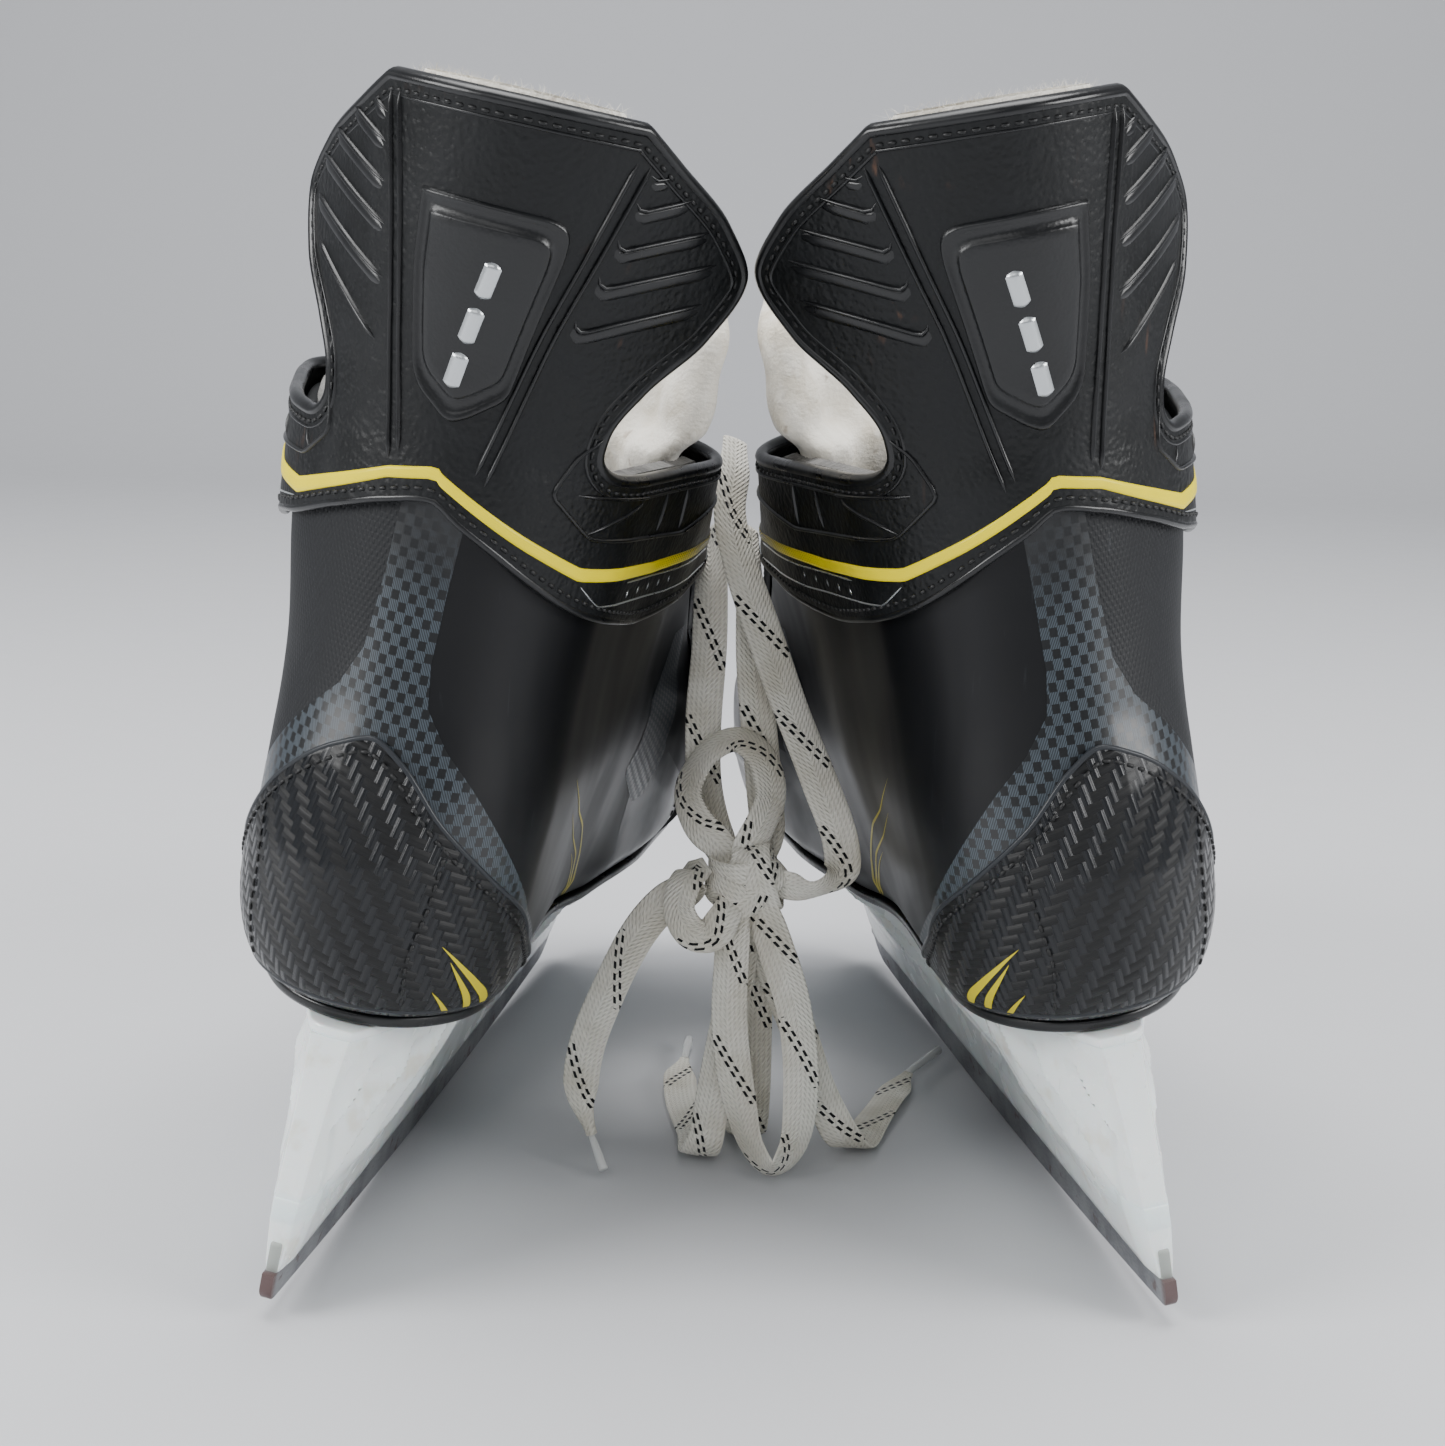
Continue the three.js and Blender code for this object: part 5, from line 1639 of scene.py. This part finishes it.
    def fixings(self) -> None:
        """Domed rivet heads, one modelled and copied to both rows of each flange."""
        bpy.ops.mesh.primitive_cylinder_add(vertices=20, radius=2.2 * MM, depth=1.2 * MM, location=(0, 0, 0))
        head = bpy.context.object
        modify(head, "BEVEL", width=0.5 * MM, segments=2, limit_method="ANGLE", angle_limit=math.radians(60))
        base = np.array([v.co[:] for v in head.data.vertices]) / MM
        faces = [list(p.vertices) for p in head.data.polygons]
        bpy.data.objects.remove(head)
        for number, (x, y) in enumerate(self.rivets):
            top = (self.sole_heel if x < 128 else self.sole_ball) - 0.7 - self.flange
            mesh = bpy.data.meshes.new("rivet")
            both = [self.stance.place(base + np.array([x, side, top - 0.6])) for side in (y, -y)]
            count = len(base)
            flip = self.stance.side is Side.LEFT
            quads = [[i + k for i in (f[::-1] if flip else f)] for k in (0, count) for f in faces]
            mesh.from_pydata(np.concatenate(both).tolist(), [], quads)
            obj = bpy.data.objects.new(f"{self.name}_rivets_{number + 1}", mesh)
            bpy.context.scene.collection.objects.link(obj)
            smooth_faces(obj, 40)
            Kit.rivet.apply(obj)
            settle(obj, self.body, "rivet", f"{self.name}_rivet_{number + 1}")

    def runner(self) -> None:
        """The steel, ground on both sides, with eased lower corners."""
        turn = np.array([0, 0.03, 0.1, 0.2, 0.35, 0.55, 0.78])
        heel, toe = 3.6, 14.0
        x = np.concatenate([heel * turn, np.linspace(heel, RUNNER_LENGTH - toe, 90), RUNNER_LENGTH - toe * turn[::-1]])
        low = ROCKER_RADIUS - np.sqrt(ROCKER_RADIUS**2 - (x - ROCKER_MIDDLE) ** 2)
        for past, radius in ((heel - x, heel), (x - RUNNER_LENGTH + toe, toe)):
            low += radius - np.sqrt(radius**2 - np.clip(past, 0, radius) ** 2)
        low = np.minimum(low, 9.6)
        rows = ((0.0, 1.2), (0.35, 1.5), (1.0, 1.5))
        loops = []
        for share, half in rows:
            z = low + (share if share < 1 else 0) + ((STEEL_TOP - low) if share == 1.0 else 0)
            loops.append((z, half))
        ring = [np.stack([x, half + 0 * x, z], axis=-1) for z, half in loops]
        ring += [np.stack([x, -half + 0 * x, z], axis=-1) for z, half in loops[::-1]]
        into = Fabrication()
        stack = np.stack(ring, axis=1)
        out = stack - np.stack([x, 0 * x, 12 + 0 * x], axis=-1)[:, None]
        into.grid(stack, out, ring=True)
        for end, way in ((0, -1), (-1, 1)):
            cap = stack[end]
            into.grid(np.stack([cap[:3], cap[:2:-1]]), np.array([way, 0, 0.0]))
        obj = into.build(f"{self.name}_steel", Kit.steel[self.stance.side], self.stance, merge=0.001)
        smooth_faces(obj, 30)
        settle(obj, self.body, "steel", f"{self.name}_runner")

    def insert(self) -> None:
        """The grey tab in the holder's rear tip, over the end of the steel."""
        bpy.ops.mesh.primitive_cube_add(size=MM, location=(0, 0, 0))
        obj = bpy.context.object
        obj.name = obj.data.name = f"{self.name}_tip_tab"
        modify(obj, "BEVEL", width=0.12 * MM, segments=2, limit_method="ANGLE", angle_limit=math.radians(60))
        local = np.array([v.co[:] for v in obj.data.vertices]) / MM * (4.5, 2.9, 8.4) + (4.2, 0, 14.8)
        obj.data.vertices.foreach_set("co", self.stance.place(local).astype(np.float32).ravel())
        if self.stance.side is Side.LEFT:
            obj.data.flip_normals()
        smooth_faces(obj, 40)
        Kit.tab.apply(obj)
        settle(obj, self.body, "holder")

    def build(self) -> None:
        """Builds the chassis."""
        self.outsole()
        self.insert()
        self.holder()
        self.runner()
        self.fixings()


@dataclass(frozen=True)
class Run:
    """One free length of lace: where it runs and which way its face looks at each point (mm)."""

    name: str
    nodes: tuple[str, ...]
    points: Rows
    looks: Rows
    far_end: str = "knot"
    tip: str | None = None
    width: float = 10.0
    twist: float = 0.15


@dataclass
class Laces:
    """The free lace: runs from both throats, knot, bows, and four ends with their tips."""

    body: str = "left_skate"
    half_thickness: float = 0.6
    centre: tuple[float, float, float] = (4, -39, 80)
    runs: Sequence[Run] = (
        Run(
            "lace_from_left", ("lace_run_left",),
            ((-7, -3, 171), (-7, -13, 158), (-7, -20, 141), (-8, -24, 120), (-7, -25, 101), (-3, -31, 88),
                (2, -36, 82)),
            ((-0.9, -0.5, 0), (-0.6, -1, 0), (-0.2, -1, 0), (0.2, -1, 0), (0.1, -1, 0.3), (0, -1, 0.3), (0, -1, 0.5)),
        ),
        Run(
            "lace_from_right", ("lace_run_right",),
            ((4, -2, 171), (4, -12, 158), (5, -20, 141), (7, -24, 122), (9, -25, 104), (10, -32, 90), (7, -36, 83)),
            ((0.9, -0.6, 0), (0.7, -1, 0), (0.4, -1, 0), (0.3, -1, 0), (0, -1, 0.3), (0, -1, 0.3), (0, -1, 0.5)),
        ),
        Run(
            "lace_across", ("lace_run_cross",),
            (
                (-1, -5, 196), (-1, -13, 189), (-2, -20, 178), (1, -24, 165), (8, -28, 146), (15, -31, 128),
                (24, -36, 107), (30, -40, 91), (30, -43, 83), (24, -44, 79), (17, -42, 79), (10, -40, 80),
            ),
            (
                (0.5, -1, 0), (0.5, -1, 0), (0.4, -1, 0), (0.3, -1, 0), (0.25, -1, 0.2), (0.2, -1, 0.2),
                (0.1, -1, 0.1), (0, -1, -0.1), (0, -0.8, -0.6), (0, -0.7, -0.8), (0, -1, -0.2), (0, -1, 0),
            ),
            width=10.0,
        ),
        Run(
            "lace_bow_high", ("lace_bow_upper",),
            (
                (2, -39, 84), (-3, -38.5, 89.5), (-9, -37, 95), (-12, -34, 103), (-7, -31, 113), (1, -29, 117),
                (8, -31, 113), (11, -35, 103), (8, -40, 95), (5, -41, 89), (4, -39, 83),
            ),
            (
                (-0.2, -1, 0.3), (-0.5, -1, 0.3), (-0.8, -1, 0.2), (-0.9, -1, 0.2), (-0.6, -0.8, 0.8), (0, -0.7, 1),
                (0.6, -0.8, 0.7), (0.8, -1, 0.1), (0.5, -1, -0.2), (0.2, -1, 0), (0, -1, 0),
            ),
        ),
        Run(
            "lace_bow_hanging", ("lace_bow_long",),
            (
                (3, -42, 77), (1.5, -45, 69), (1, -47.5, 58), (1, -50, 42), (4, -53, 22), (8, -56, 9), (13.5, -58, 3.6),
                (19, -56, 9), (21, -53, 25), (18.5, -49, 47), (13, -46, 63), (9, -43, 73), (7, -41, 78),
            ),
            (
                (-0.1, -1, 0), (-0.2, -1, 0), (-0.2, -1, 0), (-0.3, -1, 0), (-0.4, -1, 0), (-0.6, -1, -0.3),
                    (0, -0.9, -0.8),
                (0.6, -1, -0.3), (0.4, -1, 0), (0.2, -1, 0), (0, -1, 0), (0, -1, 0), (0, -1, 0),
            ),
            width=10.0,
        ),
        Run(
            "lace_end_left", ("lace_bow_small", "lace_end_a"),
            (
                (2, -44, 78), (-1, -49, 72), (-5, -50.5, 67), (-10, -50.5, 68), (-13.5, -49, 74),
                    (-12, -47, 81), (-9.5, -43, 83),
                (-9.5, -40.5, 80), (-12, -41, 77), (-17, -42, 74), (-24, -44, 66), (-32, -46, 50), (-38, -48, 33),
                (-39, -50, 20), (-36, -51.5, 10),
            ),
            (
                (0, -1, 0), (0, -1, -0.1), (0, -1, -0.3), (-0.3, -1, -0.2), (-0.7, -1, 0), (-0.5, -0.9, 0.5),
                    (-0.3, -0.7, 0.8),
                (-0.5, -0.8, 0.6), (-0.4, -1, 0.4), (-0.3, -1, 0.2), (-0.3, -1, 0), (-0.2, -1, 0), (-0.2, -1, 0),
                (-0.3, -1, 0), (-0.5, -1, 0),
            ),
            far_end="fitting", tip="aglet_a",
        ),
        Run(
            "lace_end_middle", ("lace_end_b",),
            (
                (4, -39, 77), (4, -38.5, 69.5), (3, -40, 55), (0, -43, 38), (-3, -47, 20), (-5, -50, 8), (-7, -46, 3.0),
                (-8, -31, 2.2), (-12, -3, 2.2), (-13, 15, 2.2), (-12, 29, 2.2),
            ),
            (
                (0, -1, 0), (0, -1, 0), (-0.2, -1, 0), (-0.4, -1, 0), (-0.5, -1, 0), (-0.4, -1, -0.5), (0, -0.5, -1),
                (0, 0, -1), (0, 0, -1), (0, 0, -1), (0, 0, -1),
            ),
            far_end="fitting", tip="aglet_b",
        ),
        Run(
            "lace_end_right", ("lace_end_c",),
            (
                (6, -39, 77), (9, -38, 69.8), (13, -39, 55), (20, -40, 38), (27, -42, 20), (33, -43, 8), (37, -38, 3.0),
                (43, -18, 2.2), (50, 4, 2.2), (56, 21, 2.2),
            ),
            (
                (0.1, -1, 0), (0.2, -1, 0), (0.2, -1, 0.1), (0.3, -1, 0.2), (0.3, -1, 0.2), (0.2, -1, -0.5),
                    (0, -0.5, -1),
                (0, 0, -1), (0, 0, -1), (0, 0, -1),
            ),
            far_end="fitting", tip="aglet_c",
        ),
        Run(
            "lace_end_back", ("lace_end_d",),
            (
                (6, -35, 77), (8, -32.5, 71.5), (8, -33, 55), (8, -35, 35), (8, -37, 15), (7.5, -34, 5), (6, -27, 2.4),
                (4, -9, 2.2), (3, 1, 2.2),
            ),
            ((0, -1, 0),) * 5 + ((0, -1, -0.7), (0, -0.2, -1), (0, 0, -1), (0, 0, -1)),
            far_end="fitting", tip="aglet_d",
        ),
    )
    tips: dict = field(
        default_factory=lambda: {
            "aglet_a": ((-35.6, -52, 9), (-32.5, -57, 3)),
            "aglet_b": ((-11.9, 30, 3), (-11, 45, 3)),
            "aglet_c": ((56.6, 22.4, 3), (66.5, 41, 3)),
            "aglet_d": ((2.95, 2, 3), (2, 17, 3)),
        }
    )

    def ribbon(self, into: Fabrication, path: Array, looks: Array, width: Array, start: float = 0.0) -> None:
        """Adds a flat woven ribbon.

        Args:
            into: Where it goes.
            path: Its middle line.
            looks: Which way its face looks at each point.
            width: Its width at each point.
            start: Length of lace before it, so that the tracers run on.
        """
        along = unit(np.gradient(path, axis=0))
        face = unit(looks - along * (looks * along).sum(axis=1, keepdims=True))
        across = np.cross(face, along)
        angle = np.linspace(0, 2 * np.pi, 20, endpoint=False)
        c, s = np.cos(angle), np.sin(angle)
        flat = np.sign(c) * np.abs(c) ** 0.55
        thick = self.half_thickness * (np.sign(s) * np.abs(s) ** 0.7)
        half = width[:, None] / 2
        cup = -0.35 * (flat**2)[None]
        swell = np.clip(4.5 / half, 1, 1.9)
        offset = across[:, None] * (half * flat[None])[..., None] + face[:,
            None] * (thick[None] * swell + cup)[..., None]
        length = start + np.concatenate([[0], np.cumsum(np.linalg.norm(np.diff(path, axis=0), axis=1))])
        uv = np.stack([length[:, None] + 0 * half * flat, half * flat[None]], axis=-1)
        points = path[:, None] + offset
        into.grid(points, offset, uv, ring=True)
        for end, way in ((0, -1), (-1, 1)):
            cap = points[end]
            rows = np.stack([cap[:11], np.concatenate([cap[:1], cap[:9:-1]])])
            into.grid(rows, along[end] * way, np.stack([uv[end][:11]] * 2))

    def free(self, run: Run, start: float, tips: dict[str, Object], knot: Object) -> None:
        both = catmull(np.concatenate([np.array(run.points, float), np.array(run.looks, float) * 8], axis=1), 1.2)
        path, looks = both[:, :3], unit(both[:, 3:])
        length = np.concatenate([[0], np.cumsum(np.linalg.norm(np.diff(path, axis=0), axis=1))])
        wave = np.sin(length / 9.0 + start)[:, None] * run.twist
        looks = unit(looks + wave * np.cross(looks, unit(np.gradient(path, axis=0))))
        pinch = 0.75 + 0.25 * smooth(length, 0, 14)
        last = length[-1] - length
        if run.tip:
            pinch = pinch * (0.3 + 0.7 * smooth(last, 0, 16))
        else:
            pinch = pinch * (0.8 + 0.2 * smooth(last, 0, 12))
        into = Fabrication()
        self.ribbon(into, path, looks, run.width * pinch, start)
        obj = into.build(run.name, Kit.lace, merge=0.001)
        settle(obj, self.body, "lace", *run.nodes)

    def knot(self) -> Object:
        """The tied bundle: turns of ribbon wound over each other around a small core."""
        into = Fabrication()
        middle = np.array(self.centre)
        turn = np.linspace(0, 2 * np.pi, 61)
        turns = (
            ((1.0, 0.0, 0.12), (0.0, 1.0, 0.1), 9.6, 2.6, 9.5),
            ((1.0, 0.0, -0.3), (-0.2, 1.0, 0.2), 10.6, -2.8, 9.0),
            ((0.35, -0.15, 1.0), (0.0, 1.0, 0.1), 9.6, 1.5, 9.0),
            ((0.8, 0.1, 0.75), (0.3, 1.0, 0.3), 11.0, -3.2, 8.5),
            ((-0.25, -0.2, 1.0), (0.1, 1.0, 0.0), 10.4, -5.0, 8.5),
        )
        for k, (first, second, radius, shift, width) in enumerate(turns):
            a = unit(np.array(first))
            b = unit(np.array(second) - a * np.dot(a, second))
            axle = np.cross(a, b)
            r = radius * (1 + 0.06 * np.sin(3 * turn + k))[:, None]
            path = middle + axle * shift + (a * np.cos(turn)[:, None] + b * np.sin(turn)[:, None] * 0.82) * r * 0.9
            self.ribbon(into, path, unit(path - middle - axle * shift), np.full(len(path), width), 31.0 * k)
        theta = np.linspace(0.05, np.pi - 0.05, 13)[:, None]
        phi = np.linspace(0, 2 * np.pi, 24, endpoint=False)[None]
        ball = np.stack([np.sin(theta) * np.cos(phi), np.sin(theta) * np.sin(phi), np.cos(theta) + 0 * phi], axis=-1)
        core = middle + ball * (7.5, 6.0, 6.5)
        into.grid(core, ball, ball[..., :2] * 20, ring=True)
        obj = into.build("lace_bundle", Kit.lace)
        return settle(obj, self.body, "lace", "lace_knot")

    def tip(self, name: str) -> Object:
        """A rolled plastic tip, drawn in where it grips the lace."""
        low, high = (np.array(p, float) * MM for p in self.tips[name])
        way = Vector(high - low)
        bpy.ops.mesh.primitive_cylinder_add(vertices=20, radius=1.45 * MM, depth=way.length + 2 * MM,
            location=(0, 0, 0))
        obj = bpy.context.object
        obj.name = obj.data.name = f"tip_{name[-1]}"
        bpy.ops.object.mode_set(mode="EDIT")
        bpy.ops.mesh.select_all(action="SELECT")
        bpy.ops.mesh.subdivide(number_cuts=3)
        bpy.ops.object.mode_set(mode="OBJECT")
        turned = way.to_track_quat("Z", "Y").to_matrix().to_4x4()
        middle = Vector((low + high) / 2)
        for vertex in obj.data.vertices:
            t = vertex.co.z / (way.length / 2)
            vertex.co.x *= 0.82 + 0.12 * t
            vertex.co.y *= 0.82 + 0.12 * t
        obj.data.transform(Matrix.Translation(middle) @ turned)
        modify(obj, "BEVEL", width=0.25 * MM, segments=2, limit_method="ANGLE", angle_limit=math.radians(50))
        smooth_faces(obj, 40)
        (Kit.smoked if name == "aglet_d" else Kit.clear).apply(obj)
        return settle(obj, self.body, "aglet", name)

    def build(self) -> None:
        """Builds the free laces, the knot and the tips."""
        tips = {name: self.tip(name) for name in self.tips}
        knot = self.knot()
        for number, run in enumerate(self.runs):
            self.free(run, 37.0 * number + 12, tips, knot)


@dataclass
class Lacing:
    """The lace threaded through one boot: flat strands crossing the tongue."""

    stance: Stance
    rows: Sequence[float] = (144, 158, 172, 186, 199)

    def build(self) -> None:
        """Builds the strands of one boot."""
        laces, into = Laces(), Fabrication()
        for number, (low, high) in enumerate(zip(self.rows, self.rows[1:])):
            for sign in (1, -1):
                stops = (
                    (sign * 0.852, low, 3.6), (sign * 0.88, low + 0.6, 4.0), (sign * 0.915, low + 1.5, 2.6),
                    (sign * 0.955, low + 4, -2.6 + sign * 0.5), (sign, (low + high) / 2, -3.4 + sign * 0.7),
                    (-sign * 0.955, high - 4, -2.6 + sign * 0.5), (-sign * 0.915, high - 2, 1.2),
                        (-sign * 0.875, high - 0.6, 1.6),
                )
                stop = np.array(stops)
                points = BOOT.point(stop[:, 0], stop[:, 1], stop[:, 2])
                out = BOOT.normal(stop[:, 0], stop[:, 1])
                both = catmull(np.concatenate([points, out * 8], axis=1), 1.2)
                width = np.full(len(both), 8.6)
                laces.ribbon(into, both[:, :3], unit(both[:, 3:]), width, 53.0 * number + 20 * sign)
        name = self.stance.side.value
        obj = into.build(f"{name}_laced_strands", Kit.lace, self.stance)
        settle(obj, f"{name}_skate", "lace", f"{name}_lacing")


@dataclass
class Studio:
    """Pale seamless paper, soft light and the camera."""

    eye: tuple[float, float, float] = (-0.00278, -0.67831, 0.264)
    pitch: float = 77.6
    roll: float = 1.37
    lens: float = 60.64

    def paper(self) -> None:
        """A sheet of paper that runs under the skates and sweeps up behind them."""
        bpy.ops.mesh.primitive_grid_add(x_subdivisions=2, y_subdivisions=60, size=2, location=(0, 0, 0))
        obj = bpy.context.object
        obj.name = "paper"
        sweep, radius = 1.5, 0.6
        for vertex in obj.data.vertices:
            length = (vertex.co.y + 1) * 2.4
            over = max(0.0, length - 1.6 - sweep)
            turn = min(math.pi / 2, over / radius)
            rise = max(0.0, over - radius * math.pi / 2)
            vertex.co.x *= 2.6
            vertex.co.y = min(length, 1.6 + sweep) - 1.6 + radius * math.sin(turn)
            vertex.co.z = radius * (1 - math.cos(turn)) + rise
        obj.data.shade_smooth()
        Kit.paper.apply(obj)

    def light(self, name: str, place: tuple[float, float, float], aim: tuple[float, float, float], size: float,
            power: float) -> None:
        """One soft box at a place, aimed at a point."""
        lamp = bpy.data.lights.new(name, "AREA")
        lamp.shape = "RECTANGLE"
        lamp.size, lamp.size_y, lamp.energy = size, size * 0.7, power
        obj = bpy.data.objects.new(name, lamp)
        obj.location = place
        obj.rotation_euler = (Vector(aim) - Vector(place)).to_track_quat("-Z", "Y").to_euler()
        bpy.context.scene.collection.objects.link(obj)

    def camera(self) -> None:
        """The camera at standing height behind the heels."""
        lens = bpy.data.cameras.new("camera")
        lens.lens, lens.sensor_width = self.lens, 36.0
        obj = bpy.data.objects.new("camera", lens)
        obj.location = self.eye
        level = Euler((math.radians(self.pitch), 0, 0)).to_matrix()
        obj.rotation_euler = (level @ Euler((0, 0, math.radians(self.roll))).to_matrix()).to_euler()
        bpy.context.scene.collection.objects.link(obj)
        bpy.context.scene.camera = obj

    def build(self) -> None:
        """Builds the studio."""
        self.paper()
        self.camera()
        world = bpy.data.worlds.new("soft room")
        world.use_nodes = True
        world.node_tree.nodes["Background"].inputs[0].default_value = linear("#e9ecf2")
        world.node_tree.nodes["Background"].inputs[1].default_value = 0.36
        bpy.context.scene.world = world
        self.light("ceiling", (0.0, 0.15, 1.7), (0, 0, 0.1), 1.5, 38)
        self.light("front box", (-0.3, -1.5, 1.0), (0, 0, 0.1), 1.2, 5)
        self.light("left box", (-1.3, -0.6, 0.8), (0, 0, 0.12), 0.9, 24)
        self.light("right box", (1.3, -0.5, 0.7), (0, 0, 0.12), 0.9, 20)


def main() -> None:
    """Builds the pair in order: studio, laces, then each skate."""
    logging.basicConfig(level=logging.INFO, format="%(name)s: %(message)s")
    Studio().build()
    Laces().build()
    stances = (Stance(Side.LEFT, -109, -4, 9.0, 11.2), Stance(Side.RIGHT, 109, 4, 11.0, 10.4))
    for stance in stances:
        Chassis(stance).build()
        Upper(stance).build()
        Cuff(stance).build()
        Tongue(stance).build()
        Lacing(stance).build()


if __name__ == "__main__":
    main()
